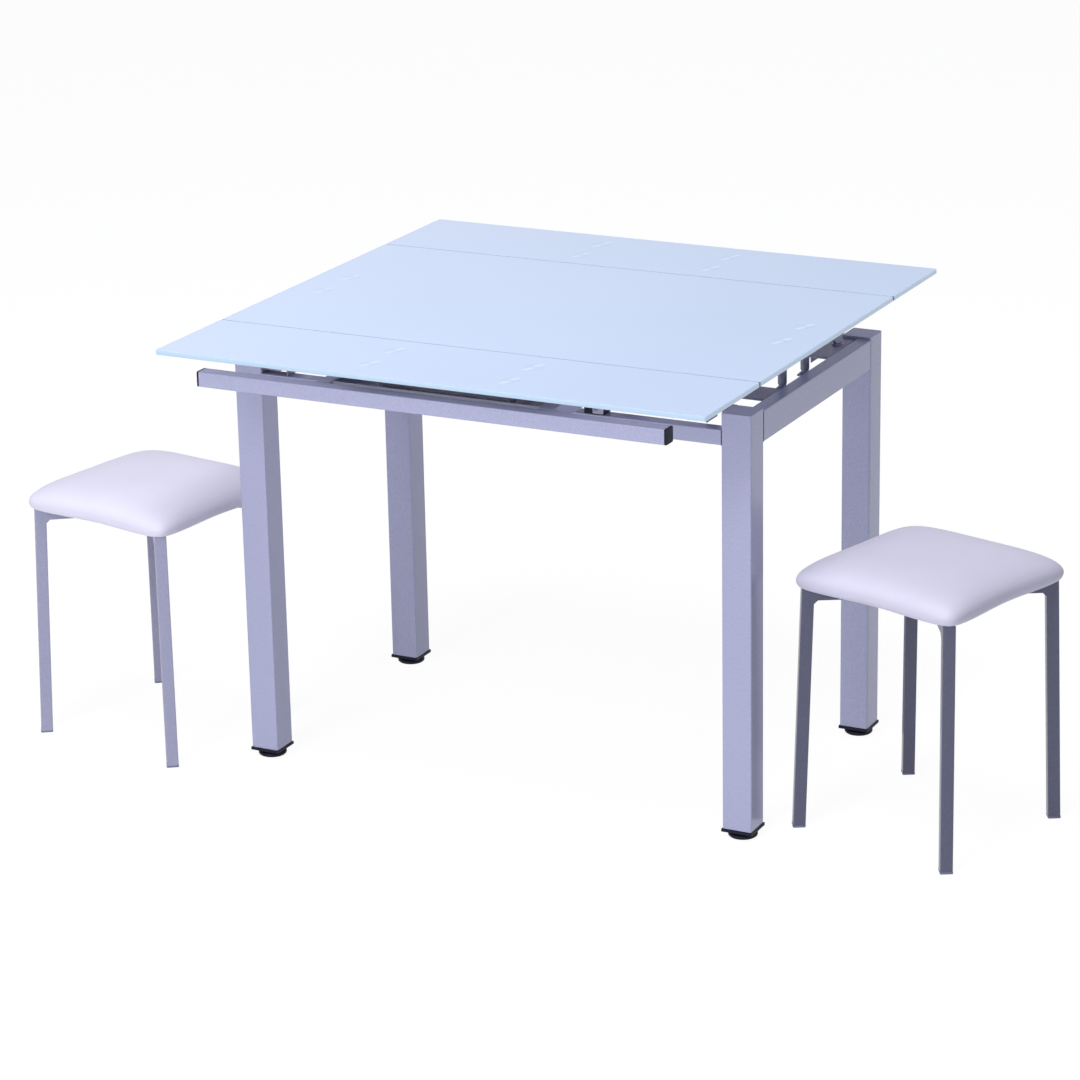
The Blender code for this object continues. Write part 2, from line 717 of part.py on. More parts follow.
# Stools
def make_hoop(name, angle, notch_low, notch_high, stool):
    """A leg, a rail and a leg of one square tube, notched halfway where it crosses the other hoop."""
    half = stool_tube / 2
    lean = (stool_top_radius - stool_foot_radius) / stool_frame_height
    rail_bottom = stool_frame_height - stool_tube
    inside = stool_foot_radius - half
    right_side = [
        (inside + lean * rail_bottom - stool_inner_chamfer, rail_bottom),
        (inside + lean * (rail_bottom - stool_inner_chamfer), rail_bottom - stool_inner_chamfer),
        (inside - lean * cut_overrun, -cut_overrun),
        (inside - lean * cut_overrun + stool_tube, -cut_overrun),
        (stool_top_radius + half, stool_frame_height),
    ]
    outline = right_side + [(-x, z) for x, z in reversed(right_side)]
    bm = bmesh.new()
    face = bm.faces.new([bm.verts.new((x, -half, z)) for x, z in outline])
    made = bmesh.ops.extrude_face_region(bm, geom=[face], use_keep_orig=True)["geom"]
    moved = [item for item in made if isinstance(item, bmesh.types.BMVert)]
    bmesh.ops.translate(bm, verts=moved, vec=(0.0, stool_tube, 0.0))
    feet = [face for face in bm.faces if all(vert.co.z < 0.0 for vert in face.verts)]
    bmesh.ops.delete(bm, geom=feet, context="FACES_ONLY")
    long_edges = [edge for edge in bm.edges if is_long_edge(edge)]
    bmesh.ops.bevel(bm, geom=long_edges, offset=stool_corner, segments=2, profile=0.5, affect="EDGES")
    hoop = add_object(name, bm, silver_paint, stool)
    thicken(hoop, stool_wall, -1.0)
    cuts = bmesh.new()
    reach = half + weld_gap
    wide = half + cut_overrun
    add_box(cuts, (-reach, -wide, notch_low), (reach, wide, notch_high))
    add_box(cuts, (-stool_frame_height, -wide, -2 * cut_overrun), (stool_frame_height, wide, 0.0))
    tool = cutter(name + "_cuts", cuts, stool)
    cut(hoop, tool)
    for item in (hoop, tool):
        item.rotation_euler.z = angle


def is_long_edge(edge):
    """True for the edges along the tube, and not for those across it or round its open feet."""
    start, end = edge.verts
    return start.co.y == end.co.y and len(edge.link_faces) == 2


def gathered(step):
    """Moves a step of the even grid from -1 to 1 towards its nearer end."""
    return step * (1 + cushion_gather * (1 - step ** 2))


def cushion_point(u, v, w):
    """Places a point of the cube from -1 to 1: a square with drawn-in sides and a crowned top."""
    u, v = gathered(u), gathered(v)
    square = max(abs(u), abs(v))
    rounded = (abs(u) ** cushion_squareness + abs(v) ** cushion_squareness) ** (1 / cushion_squareness)
    scale = square / rounded if rounded > 0 else 1.0
    along = min(abs(u), abs(v)) / square if square > 0 else 0.0
    inset = cushion_lower_inset * abs(w) ** cushion_lower_power
    if w > 0:
        inset = cushion_upper_inset * w ** cushion_upper_power
    half = cushion_side / 2 - inset
    half -= cushion_side_pull * (1 - along ** 2) * square
    base = stool_frame_height + weld_gap
    edge_height = cushion_edge_height - cushion_corner_drop * (along * square) ** cushion_corner_power
    height = base + edge_height * (w + 1) / 2
    if w > 0:
        crown = stool_seat_height - base - cushion_edge_height
        height += crown * (1 - abs(u) ** cushion_crown_power) * (1 - abs(v) ** cushion_crown_power) * w
    return Vector((u * scale * half, v * scale * half, height))


def make_seat(name, stool):
    base = stool_frame_height + weld_gap
    bm = bmesh.new()
    bmesh.ops.create_cube(bm, size=2.0)
    bmesh.ops.subdivide_edges(bm, edges=bm.edges, cuts=cushion_divisions, use_grid_fill=True)
    for vert in bm.verts:
        vert.co = cushion_point(*vert.co)
    cushion = add_object(name + "_cushion", bm, white_leatherette, stool, smooth=True)
    pocket = bmesh.new()
    reach = board_side / 2 + board_clearance
    top = base + board_thickness + board_clearance
    add_box(pocket, (-reach, -reach, base - cut_overrun), (reach, reach, top))
    cut(cushion, cutter(name + "_board_pocket", pocket, stool))
    board = bmesh.new()
    half = board_side / 2
    add_box(board, (-half, -half, base), (half, half, base + board_thickness))
    add_object(name + "_board", board, plywood, stool)


def make_stool(name, place, turn):
    stool = empty(name + "_place", table_place + place, None, turn)
    rail_middle = stool_frame_height - stool_tube / 2
    above = stool_frame_height + cut_overrun
    below = stool_frame_height - stool_tube - cut_overrun
    make_hoop(name + "_lower_hoop", math.pi / 4, rail_middle, above, stool)
    make_hoop(name + "_upper_hoop", -math.pi / 4, below, rail_middle + weld_gap, stool)
    make_seat(name, stool)


# The whole set
def make_table():
    table = empty("table_place", table_place)
    for name, (side_x, side_y) in corners.items():
        make_leg(name, side_x, side_y, table)
        make_insert(name, side_x, side_y, table)
        make_glide(name, side_x, side_y, table)
        make_post(name, side_x, side_y, table)
    make_rails(table)
    make_corner_bracket("back_right", *corners["back_right"], table)
    front = -frame_depth / 2
    make_rail_bracket(
        "front_left", -1, low_bracket_length, low_bracket_height, front, low_bracket_depth, table
    )
    front = -frame_depth / 2 + long_rail_side + weld_gap
    make_rail_bracket(
        "front_right", 1, tall_bracket_length, tall_bracket_height, front, tall_bracket_depth, table
    )
    half = centre_glass_depth / 2
    make_glass("glass_centre", -half, half, table)
    for name, side, spacing in (("front", -1, front_arm_spacing), ("back", 1, back_arm_spacing)):
        make_carriage(name, side, spacing, table)
        make_rod("outer_rod_" + name, side, outer_pivot, table)
        make_rod("inner_rod_" + name, side, inner_pivot, table)
        make_leaf(name, side, table)


make_table()
make_stool("stool_left", left_stool_place, left_stool_turn)
make_stool("stool_right", right_stool_place, right_stool_turn)
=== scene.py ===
import json
import math

import bmesh
import bpy
from mathutils import Matrix, Vector

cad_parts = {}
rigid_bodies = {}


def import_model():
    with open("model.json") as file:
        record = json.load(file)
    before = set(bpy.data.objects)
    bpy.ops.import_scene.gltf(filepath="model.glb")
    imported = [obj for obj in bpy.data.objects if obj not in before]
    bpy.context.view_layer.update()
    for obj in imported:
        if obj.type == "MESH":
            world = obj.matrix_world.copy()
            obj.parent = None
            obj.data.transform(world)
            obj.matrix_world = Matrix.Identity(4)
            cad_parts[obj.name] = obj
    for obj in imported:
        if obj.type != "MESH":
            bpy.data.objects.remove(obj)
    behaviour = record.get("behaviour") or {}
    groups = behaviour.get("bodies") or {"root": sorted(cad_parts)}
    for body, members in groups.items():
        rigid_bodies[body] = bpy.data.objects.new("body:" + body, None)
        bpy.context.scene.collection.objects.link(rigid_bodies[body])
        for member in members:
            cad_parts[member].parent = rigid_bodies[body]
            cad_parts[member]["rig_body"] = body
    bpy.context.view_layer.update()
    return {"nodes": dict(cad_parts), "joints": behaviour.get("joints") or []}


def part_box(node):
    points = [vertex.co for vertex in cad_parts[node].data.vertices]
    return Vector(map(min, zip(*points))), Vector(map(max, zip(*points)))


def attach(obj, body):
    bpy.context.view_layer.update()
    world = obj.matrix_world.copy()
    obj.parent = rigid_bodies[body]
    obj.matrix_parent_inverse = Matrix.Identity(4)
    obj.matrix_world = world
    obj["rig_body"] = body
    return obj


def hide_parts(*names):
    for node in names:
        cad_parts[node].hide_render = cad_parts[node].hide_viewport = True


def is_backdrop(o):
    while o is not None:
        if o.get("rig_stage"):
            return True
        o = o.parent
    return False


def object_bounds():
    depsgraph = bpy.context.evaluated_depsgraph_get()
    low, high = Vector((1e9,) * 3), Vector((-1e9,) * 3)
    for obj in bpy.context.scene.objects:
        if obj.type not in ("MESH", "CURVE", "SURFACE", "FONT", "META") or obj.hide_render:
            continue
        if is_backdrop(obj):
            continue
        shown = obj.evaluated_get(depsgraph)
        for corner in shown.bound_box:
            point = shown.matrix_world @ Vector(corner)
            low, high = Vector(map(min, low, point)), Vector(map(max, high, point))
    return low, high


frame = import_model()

mm = 0.001
nodes = frame["nodes"]
joints = {joint["name"]: joint for joint in frame["joints"]}
corners = ("front_left", "front_right", "back_left", "back_right")
setMiddle = (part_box("glass_centre")[0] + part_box("glass_centre")[1]) / 2
print("frame loaded:", len(nodes), "nodes")


def toLinear(hexColour):
    value = hexColour.lstrip("#")
    parts = [int(value[i:i + 2], 16) / 255 for i in (0, 2, 4)]
    linear = [c / 12.92 if c <= 0.04045 else ((c + 0.055) / 1.055) ** 2.4 for c in parts]
    return (*linear, 1.0)


def addNode(owner, kind, settings=None, values=None, links=None):
    # The owner is a material or the world.
    node = owner.node_tree.nodes.new(kind)
    for key, value in (settings or {}).items():
        setattr(node, key, value)
    for key, value in (values or {}).items():
        node.inputs[key].default_value = value
    for key, source in (links or {}).items():
        owner.node_tree.links.new(source, node.inputs[key])
    return node


def startMaterial(name, values):
    material = bpy.data.materials.new(name)
    material.use_nodes = True
    shader = material.node_tree.nodes["Principled BSDF"]
    for key, value in values.items():
        shader.inputs[key].default_value = value
    where = addNode(material, "ShaderNodeTexCoord").outputs["Object"]
    return material, shader, where


def feed(owner, shader, links):
    for key, source in links.items():
        owner.node_tree.links.new(source, shader.inputs[key])


# Polyester powder coat with a fine metal flake, sprayed and baked on steel tube.
# To the eye: silver grey with a fine streaky grain, and glossy enough that the posts mirror softly in a rail.
powderCoat = {
    "grain": 1.2 * mm,      # the real flake is 0.1 mm, drawn coarser so that it shows
    "streak": 2.5,          # the grain is this much longer upwards than across
    "orangePeel": 5.0 * mm,
    "toneSpread": (0.20, 0.80),     # grain values that give the dark and the light tone
    "peelDepth": 0.2 * mm,
    "grainDepth": 0.1 * mm,
    "metallic": 0.18,
    "roughness": (0.22, 0.30),
}


def makePowderCoat(name, light, dark):
    look = powderCoat
    material, shader, where = startMaterial(name, {"Metallic": look["metallic"]})
    across, upwards = 1 / look["grain"], 1 / (look["grain"] * look["streak"])
    drawn = addNode(material, "ShaderNodeMapping", values={"Scale": (across, across, upwards)},
                    links={"Vector": where})
    grain = addNode(material, "ShaderNodeTexNoise", values={"Scale": 1.0, "Detail": 3.0},
                    links={"Vector": drawn.outputs[0]})
    peel = addNode(material, "ShaderNodeTexNoise", values={"Scale": 1 / look["orangePeel"]},
                   links={"Vector": where})
    darkest, lightest = look["toneSpread"]
    tone = addNode(material, "ShaderNodeMapRange", values={"From Min": darkest, "From Max": lightest},
                   links={"Value": grain.outputs["Fac"]})
    colour = addNode(material, "ShaderNodeMix", {"data_type": "RGBA"},
                     {6: toLinear(dark), 7: toLinear(light)}, {0: tone.outputs[0]})
    low, high = look["roughness"]
    gloss = addNode(material, "ShaderNodeMapRange", values={"To Min": high, "To Max": low},
                    links={"Value": grain.outputs["Fac"]})
    ripple = addNode(material, "ShaderNodeBump", values={"Strength": 0.05, "Distance": look["peelDepth"]},
                     links={"Height": peel.outputs["Fac"]})
    speck = addNode(material, "ShaderNodeBump", values={"Strength": 0.06, "Distance": look["grainDepth"]},
                    links={"Height": grain.outputs["Fac"], "Normal": ripple.outputs[0]})
    feed(material, shader, {"Base Color": colour.outputs[2], "Roughness": gloss.outputs[0],
                            "Normal": speck.outputs[0]})
    return material


# Toughened float glass, 8 mm, with a white blue coat baked on its underside and ground edges.
# To the eye: a pale even sheet with a faint mirror on it, greener where it is seen edge on, and grey below.
# The coat has drawn thin over the bonding pads: each shows as a faint darker disc with two pale strokes.
coatedGlass = {
    "ior": 1.52,
    "face": "#C2D5F5",      # at the left end, and the next one at the right end, darker there as painted shade
    "faceFarShaded": "#B0C4E5",
    "cloud": 0.35,          # metres across the soft clouds in the coat
    "cloudShare": 0.3,
    "below": "#E0E2EC",
    "edgeTop": "#9DB4C8",
    "edgeLow": "#8FA5B9",
    # The next colour glows weakly at the ground edges: a painted highlight.
    "edgePaintedGlow": "#C4D9EC",
    "seam": "#6A8A9F",
    "stroke": "#D9E6FC",
    "strokeShare": 0.5,
    "strokeSize": (4.6 * mm, 10.5 * mm),    # half width and half length
    "strokeStep": (3.4 * mm, 11.5 * mm),    # from the middle of the pad to that of a stroke
    "strokeTurn": math.radians(-29),
    "padRadius": 17 * mm,
    "padShade": 0.965,
    "smear": 0.06,          # metres across the wiping marks in the gloss
    "smearRoughness": 0.06,
    "roughness": 0.12,
    # Strength of the painted glow at the edges.
    "glow": 0.33,
}


def inEllipse(material, where, middle, halves, turn=0.0):
    # How far a point lies from the middle of an ellipse: 1 on its outline.
    local = addNode(material, "ShaderNodeMapping", {"vector_type": "TEXTURE"},
                    {"Location": (*middle, 0.0), "Rotation": (0.0, 0.0, turn), "Scale": (*halves, 1000.0)},
                    {"Vector": where})
    return addNode(material, "ShaderNodeVectorMath", {"operation": "LENGTH"}, links={0: local.outputs[0]})


def nearestOf(material, distances):
    nearest = distances[0].outputs["Value"]
    for distance in distances[1:]:
        nearest = addNode(material, "ShaderNodeMath", {"operation": "MINIMUM"},
                          links={0: nearest, 1: distance.outputs["Value"]}).outputs[0]
    return nearest


def makeCoatedGlass(name, pads, low, high, seamSide):
    # The seam side is -1 or 1 for a pane with a seam at its near or far long edge, and 0 for one with both.
    look = coatedGlass
    material, shader, where = startMaterial(name, {"IOR": look["ior"]})
    split = addNode(material, "ShaderNodeSeparateXYZ", links={"Vector": where})
    cloud = addNode(material, "ShaderNodeTexNoise", values={"Scale": 1 / look["cloud"], "Detail": 2.0},
                    links={"Vector": where})
    # From the left end to the right the face darkens: painted shade, mixed with the soft clouds of the coat.
    across = addNode(material, "ShaderNodeMapRange", values={"From Min": low.x, "From Max": high.x},
                     links={"Value": split.outputs["X"]})
    cloudAndShade = addNode(material, "ShaderNodeMath", {"operation": "MULTIPLY_ADD"},
                    {1: look["cloudShare"]}, {0: cloud.outputs["Fac"], 2: across.outputs[0]})
    face = addNode(material, "ShaderNodeMix", {"data_type": "RGBA"},
                   {6: toLinear(look["face"]), 7: toLinear(look["faceFarShaded"])}, {0: cloudAndShade.outputs[0]})
    discs, strokes = [], []
    dx, dy = look["strokeStep"]
    for x, y in pads:
        discs.append(inEllipse(material, where, (x, y), (look["padRadius"], look["padRadius"])))
        for step in (-1, 1):
            middle = (x + step * dx, y + step * dy)
            strokes.append(inEllipse(material, where, middle, look["strokeSize"], look["strokeTurn"]))
    shade = addNode(material, "ShaderNodeMapRange",
                    values={"From Min": 1.15, "From Max": 0.85, "To Min": 1.0, "To Max": look["padShade"]},
                    links={"Value": nearestOf(material, discs)})
    padded = addNode(material, "ShaderNodeMix", {"data_type": "RGBA", "blend_type": "MULTIPLY"}, {0: 1.0},
                     {6: face.outputs[2], 7: shade.outputs[0]})
    pale = addNode(material, "ShaderNodeMapRange",
                   values={"From Min": 1.25, "From Max": 0.55, "To Max": look["strokeShare"]},
                   links={"Value": nearestOf(material, strokes)})
    marked = addNode(material, "ShaderNodeMix", {"data_type": "RGBA"}, {7: toLinear(look["stroke"])},
                     {0: pale.outputs[0], 6: padded.outputs[2]})
    side = addNode(material, "ShaderNodeNewGeometry")
    upright = addNode(material, "ShaderNodeSeparateXYZ", links={"Vector": side.outputs["Normal"]})
    flat = addNode(material, "ShaderNodeMath", {"operation": "ABSOLUTE"}, links={0: upright.outputs["Z"]})
    onEdge = addNode(material, "ShaderNodeMapRange", values={"From Min": 0.98, "From Max": 0.70},
                     links={"Value": flat.outputs[0]})
    depth = addNode(material, "ShaderNodeMapRange", values={"From Min": low.z, "From Max": high.z},
                    links={"Value": split.outputs["Z"]})
    edge = addNode(material, "ShaderNodeMix", {"data_type": "RGBA"},
                   {6: toLinear(look["edgeLow"]), 7: toLinear(look["edgeTop"])}, {0: depth.outputs[0]})
    # Little light falls between two panes: the edges along a seam are darker.
    facing = upright.outputs["Y"]
    if seamSide == 0:
        facing = addNode(material, "ShaderNodeMath", {"operation": "ABSOLUTE"}, links={0: facing}).outputs[0]
    sign = seamSide or 1
    inSeam = addNode(material, "ShaderNodeMapRange", values={"From Min": 0.2 * sign, "From Max": 0.6 * sign},
                     links={"Value": facing})
    rim = addNode(material, "ShaderNodeMix", {"data_type": "RGBA"}, {7: toLinear(look["seam"])},
                  {0: inSeam.outputs[0], 6: edge.outputs[2]})
    skin = addNode(material, "ShaderNodeMix", {"data_type": "RGBA"},
                   links={0: onEdge.outputs[0], 6: marked.outputs[2], 7: rim.outputs[2]})
    turned = addNode(material, "ShaderNodeMapRange", values={"From Min": -0.6, "From Max": -0.9},
                     links={"Value": upright.outputs["Z"]})
    colour = addNode(material, "ShaderNodeMix", {"data_type": "RGBA"}, {7: toLinear(look["below"])},
                     {0: turned.outputs[0], 6: skin.outputs[2]})
    smear = addNode(material, "ShaderNodeTexNoise", values={"Scale": 1 / look["smear"], "Detail": 5.0},
                    links={"Vector": where})
    gloss = addNode(material, "ShaderNodeMapRange",
                    values={"To Min": look["roughness"],
                            "To Max": look["roughness"] + look["smearRoughness"]},
                    links={"Value": smear.outputs["Fac"]})
    # A painted glow: the ground edges give out a weak light, though not in a seam.
    lit = addNode(material, "ShaderNodeMix", {"data_type": "RGBA"},
                  {6: toLinear(look["edgePaintedGlow"]), 7: (0.0, 0.0, 0.0, 1.0)}, {0: inSeam.outputs[0]})
    glow = addNode(material, "ShaderNodeMix", {"data_type": "RGBA"}, {6: (0.0, 0.0, 0.0, 1.0)},
                   {0: onEdge.outputs[0], 7: lit.outputs[2]})
    shader.inputs["Emission Strength"].default_value = look["glow"]
    feed(material, shader, {"Base Color": colour.outputs[2], "Roughness": gloss.outputs[0],
                            "Emission Color": glow.outputs[2]})
    return material


# Injection moulded nylon and polyethylene, matt from a spark eroded mould.
# To the eye: nearly black, or mid grey, with a very fine even texture and soft highlights.
moulded = {
    "ior": 1.53,
    "texture": 0.9 * mm,    # the real spark texture is 0.1 mm, drawn coarser so that it shows
    "textureDepth": 0.06 * mm,
    "flow": 14 * mm,
    "flowShade": (0.8, 1.25),
}


def makeMoulded(name, colour, roughness, specular):
    look = moulded
    material, shader, where = startMaterial(name, {"Roughness": roughness, "IOR": look["ior"],
                                                   "Specular IOR Level": specular})
    texture = addNode(material, "ShaderNodeTexNoise", values={"Scale": 1 / look["texture"], "Detail": 2.0},
                      links={"Vector": where})
    flow = addNode(material, "ShaderNodeTexNoise", values={"Scale": 1 / look["flow"], "Detail": 2.0},
                   links={"Vector": where})
    darker, lighter = look["flowShade"]
    tone = addNode(material, "ShaderNodeMapRange", values={"To Min": darker, "To Max": lighter},
                   links={"Value": flow.outputs["Fac"]})
    shade = addNode(material, "ShaderNodeMix", {"data_type": "RGBA", "blend_type": "MULTIPLY"},
                    {0: 1.0, 6: toLinear(colour)}, {7: tone.outputs[0]})
    bump = addNode(material, "ShaderNodeBump", values={"Strength": 0.25, "Distance": look["textureDepth"]},
                   links={"Height": texture.outputs["Fac"]})
    feed(material, shader, {"Base Color": shade.outputs[2], "Normal": bump.outputs[0]})
    return material


# Steel sheet and rod with bright zinc plating, passivated.
# To the eye: grey metal with soft spangle patches, dull rather than mirror bright.
zincCoat = {"metallic": 0.85, "spangle": 5 * mm, "fog": 9 * mm, "fogDepth": 0.05 * mm}


def makeZincPlate(name, light, dark, roughness):
    look = zincCoat
    material, shader, where = startMaterial(name, {"Metallic": look["metallic"]})
    spangle = addNode(material, "ShaderNodeTexVoronoi",
                      values={"Scale": 1 / look["spangle"], "Randomness": 1.0}, links={"Vector": where})
    fog = addNode(material, "ShaderNodeTexNoise", values={"Scale": 1 / look["fog"], "Detail": 4.0},
                  links={"Vector": where})
    patch = addNode(material, "ShaderNodeMix", {"data_type": "RGBA"}, {0: 0.5},
                    {6: spangle.outputs["Color"], 7: fog.outputs["Fac"]})
    tone = addNode(material, "ShaderNodeMix", {"data_type": "RGBA"},
                   {6: toLinear(dark), 7: toLinear(light)}, {0: patch.outputs[2]})
    gloss = addNode(material, "ShaderNodeMapRange",
                    values={"To Min": roughness - 0.08, "To Max": roughness + 0.1},
                    links={"Value": fog.outputs["Fac"]})
    bump = addNode(material, "ShaderNodeBump", values={"Strength": 0.12, "Distance": look["fogDepth"]},
                   links={"Height": fog.outputs["Fac"]})
    feed(material, shader, {"Base Color": tone.outputs[2], "Roughness": gloss.outputs[0],
                            "Normal": bump.outputs[0]})
    return material


# Embossed PVC leatherette on a knitted back, stretched over foam.
# To the eye: smooth near white with a fine pebble grain, a dull gloss and a slight bloom at grazing angles.
leatherette = {
    "left": ("#E0DEF0", "#D7D5E8"),     # light and dark tone, by stool: the right seat is drawn a shade darker, as painted shade
    "right": ("#CFCDE0", "#C7C5D9"),
    "pebble": 1.6 * mm,     # the real grain is 0.6 mm, drawn coarser so that it shows
    "pebbleDepth": 0.12 * mm,
    "stain": 60 * mm,
    "sheen": 0.08,
    "roughness": 0.56,
}


def makeLeatherette(name, light, dark):
    look = leatherette
    material, shader, where = startMaterial(name, {"Sheen Weight": look["sheen"], "Sheen Roughness": 0.4,
                                                   "IOR": 1.5})
    pebble = addNode(material, "ShaderNodeTexVoronoi", {"feature": "SMOOTH_F1"},
                     {"Scale": 1 / look["pebble"], "Smoothness": 0.6}, {"Vector": where})
    stain = addNode(material, "ShaderNodeTexNoise", values={"Scale": 1 / look["stain"], "Detail": 3.0},
                    links={"Vector": where})
    colour = addNode(material, "ShaderNodeMix", {"data_type": "RGBA"},
                     {6: toLinear(dark), 7: toLinear(light)}, {0: stain.outputs["Fac"]})
    # The grooves between the pebbles are drawn a little darker: painted shade.
    grooveShade = addNode(material, "ShaderNodeMapRange", values={"From Max": 0.7, "To Min": 1.0, "To Max": 0.965},
                      links={"Value": pebble.outputs["Distance"]})
    shade = addNode(material, "ShaderNodeMix", {"data_type": "RGBA", "blend_type": "MULTIPLY"}, {0: 1.0},
                    {6: colour.outputs[2], 7: grooveShade.outputs[0]})
    gloss = addNode(material, "ShaderNodeMapRange",
                    values={"To Min": look["roughness"] - 0.05, "To Max": look["roughness"] + 0.07},
                    links={"Value": stain.outputs["Fac"]})
    bump = addNode(material, "ShaderNodeBump", {"invert": True},
                   {"Strength": 0.22, "Distance": look["pebbleDepth"]}, {"Height": pebble.outputs["Distance"]})
    feed(material, shader, {"Base Color": shade.outputs[2], "Roughness": gloss.outputs[0],
                            "Normal": bump.outputs[0]})
    return material


# Rotary cut birch plywood, sanded and left bare.
# To the eye: warm pale wood, with long soft grain along the outer ply.
plywood = {"roughness": 0.62, "grainLength": 160 * mm, "grainWidth": 6 * mm, "grainDepth": 0.1 * mm}


def makePlywood(name, light, dark):
    look = plywood
    material, shader, where = startMaterial(name, {"Roughness": look["roughness"], "IOR": 1.5})
    along, across = 1 / look["grainLength"], 1 / look["grainWidth"]
    stretch = addNode(material, "ShaderNodeMapping", values={"Scale": (along, across, across)},
                      links={"Vector": where})
    grain = addNode(material, "ShaderNodeTexNoise", values={"Scale": 1.0, "Detail": 6.0, "Distortion": 0.6},
                    links={"Vector": stretch.outputs[0]})
    colour = addNode(material, "ShaderNodeMix", {"data_type": "RGBA"},
                     {6: toLinear(dark), 7: toLinear(light)}, {0: grain.outputs["Fac"]})
    bump = addNode(material, "ShaderNodeBump", values={"Strength": 0.3, "Distance": look["grainDepth"]},
                   links={"Height": grain.outputs["Fac"]})
    feed(material, shader, {"Base Color": colour.outputs[2], "Normal": bump.outputs[0]})
    return material


tablePaint = makePowderCoat("silverPowderCoat", "#B4B6D3", "#979ABA")
# A darker copy of the same coat for the posts, plates and brackets under the glass: painted shade.
shadedCopyPaint = makePowderCoat("silverPowderCoatPaintedShade", "#85879E", "#6A6C82")
# A much paler copy of the coat for the trays under the leaves: painted light.
litCopyTrayPaint = makePowderCoat("trayPowderCoatPaintedLight", "#E2E2EE", "#CFCFDC")
# The right stool's coat is drawn a clearly darker grey than the left one's: painted shade.
stoolPaints = {
    "left": makePowderCoat("stoolPowderCoatLight", "#A5A6C1", "#898AA6"),
    "right": makePowderCoat("stoolPowderCoatPaintedShade", "#5F617A", "#494B61"),
}
blackNylon = makeMoulded("blackNylon", "#0A0D20", 0.55, 0.2)
greyPolyethylene = makeMoulded("greyPolyethylene", "#6B6D88", 0.5, 0.5)
zincPlate = makeZincPlate("zincPlatedSteel", "#A5A6BA", "#6A6B80", 0.34)
blackZinc = makeZincPlate("blackPassivatedSteel", "#54566B", "#2E3042", 0.42)
seatLeatherettes = {side: makeLeatherette("whiteLeatherette" + side.capitalize(), *leatherette[side])
                    for side in ("left", "right")}
birchPlywood = makePlywood("birchPlywood", "#C7A77E", "#A88457")
print("finishes made")


# Shared makers of pieces

def finishPiece(piece, material, body, stands=(), angle=40):
    piece.data.materials.clear()
    piece.data.materials.append(material)
    if piece.type == "MESH":
        piece.data.shade_smooth()
        piece.data.set_sharp_from_angle(angle=math.radians(angle))
    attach(piece, body)
    if stands:
        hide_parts(*stands)
    return piece


def newPiece(name, bm):
    mesh = bpy.data.meshes.new(name)
    bm.to_mesh(mesh)
    bm.free()
    piece = bpy.data.objects.new(name, mesh)
    bpy.context.scene.collection.objects.link(piece)
    return piece


def evenFaces(piece):
    flat = piece.modifiers.new("flatFaces", "WEIGHTED_NORMAL")
    flat.keep_sharp = True


def roundEdges(piece, width, segments, angle=40):
    edge = piece.modifiers.new("softEdge", "BEVEL")
    edge.width = width
    edge.segments = segments
    edge.limit_method = "ANGLE"
    edge.angle_limit = math.radians(angle)
    edge.harden_normals = True
    evenFaces(piece)


def softened(node, material, edge, segments=2):
    # The solid's own shape with joined up faces, rounded edges and even shading.
    bm = bmesh.new()
    bm.from_mesh(nodes[node].data)
    bmesh.ops.remove_doubles(bm, verts=bm.verts, dist=0.001 * mm)
    bmesh.ops.dissolve_limit(bm, angle_limit=math.radians(0.5), verts=bm.verts, edges=bm.edges)
    piece = newPiece(node + "_finished", bm)
    finishPiece(piece, material, nodes[node]["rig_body"], [node])
    roundEdges(piece, edge, segments)
    return piece


def roundedBlock(bm, low, high, corner, edge, upright=2, segments=4):
    # A box with round corners about one axis and a small round on its other edges.
    size = Vector(high) - Vector(low)
    place = Matrix.Translation((Vector(low) + Vector(high)) / 2) @ Matrix.Diagonal((*size, 1.0))
    verts = bmesh.ops.create_cube(bm, size=1.0, matrix=place)["verts"]
    edges = {e for v in verts for e in v.link_edges}
    flank = [e for e in edges if abs((e.verts[0].co - e.verts[1].co)[upright]) > size[upright] / 2]
    made = bmesh.ops.bevel(bm, geom=flank, offset=corner, segments=segments, profile=0.5, affect="EDGES")
    verts = {v for v in verts if v.is_valid} | set(made["verts"])
    rims = [e for e in {e for v in verts for e in v.link_edges}
            if abs((e.verts[0].co - e.verts[1].co)[upright]) < size[upright] * 0.001]
    rims = [e for e in rims if any(abs(f.normal[upright]) > 0.9 for f in e.link_faces)
            and any(abs(f.normal[upright]) < 0.5 for f in e.link_faces)]
    bmesh.ops.bevel(bm, geom=rims, offset=edge, segments=3, profile=0.5, affect="EDGES")


def turnedPiece(name, profile, place, axis="Z", steps=40):
    # The profile runs as (radius, height) pairs and is spun round the axis through the place.
    bm = bmesh.new()
    ring = [bm.verts.new((radius, 0.0, height)) for radius, height in profile]
    for a, b in zip(ring, ring[1:]):
        bm.edges.new((a, b))
    bmesh.ops.spin(bm, geom=bm.verts[:] + bm.edges[:], axis=(0, 0, 1), cent=(0, 0, 0),
                   angle=math.tau, steps=steps, use_merge=True)
    bmesh.ops.remove_doubles(bm, verts=bm.verts, dist=0.001 * mm)
    bmesh.ops.recalc_face_normals(bm, faces=bm.faces)
    turn = {"Z": Matrix.Identity(4), "X": Matrix.Rotation(math.pi / 2, 4, "Y"),
            "-X": Matrix.Rotation(-math.pi / 2, 4, "Y"), "Y": Matrix.Rotation(-math.pi / 2, 4, "X"),
            "-Y": Matrix.Rotation(math.pi / 2, 4, "X")}[axis]
    bmesh.ops.transform(bm, matrix=Matrix.Translation(place) @ turn, verts=bm.verts)
    return newPiece(name, bm)


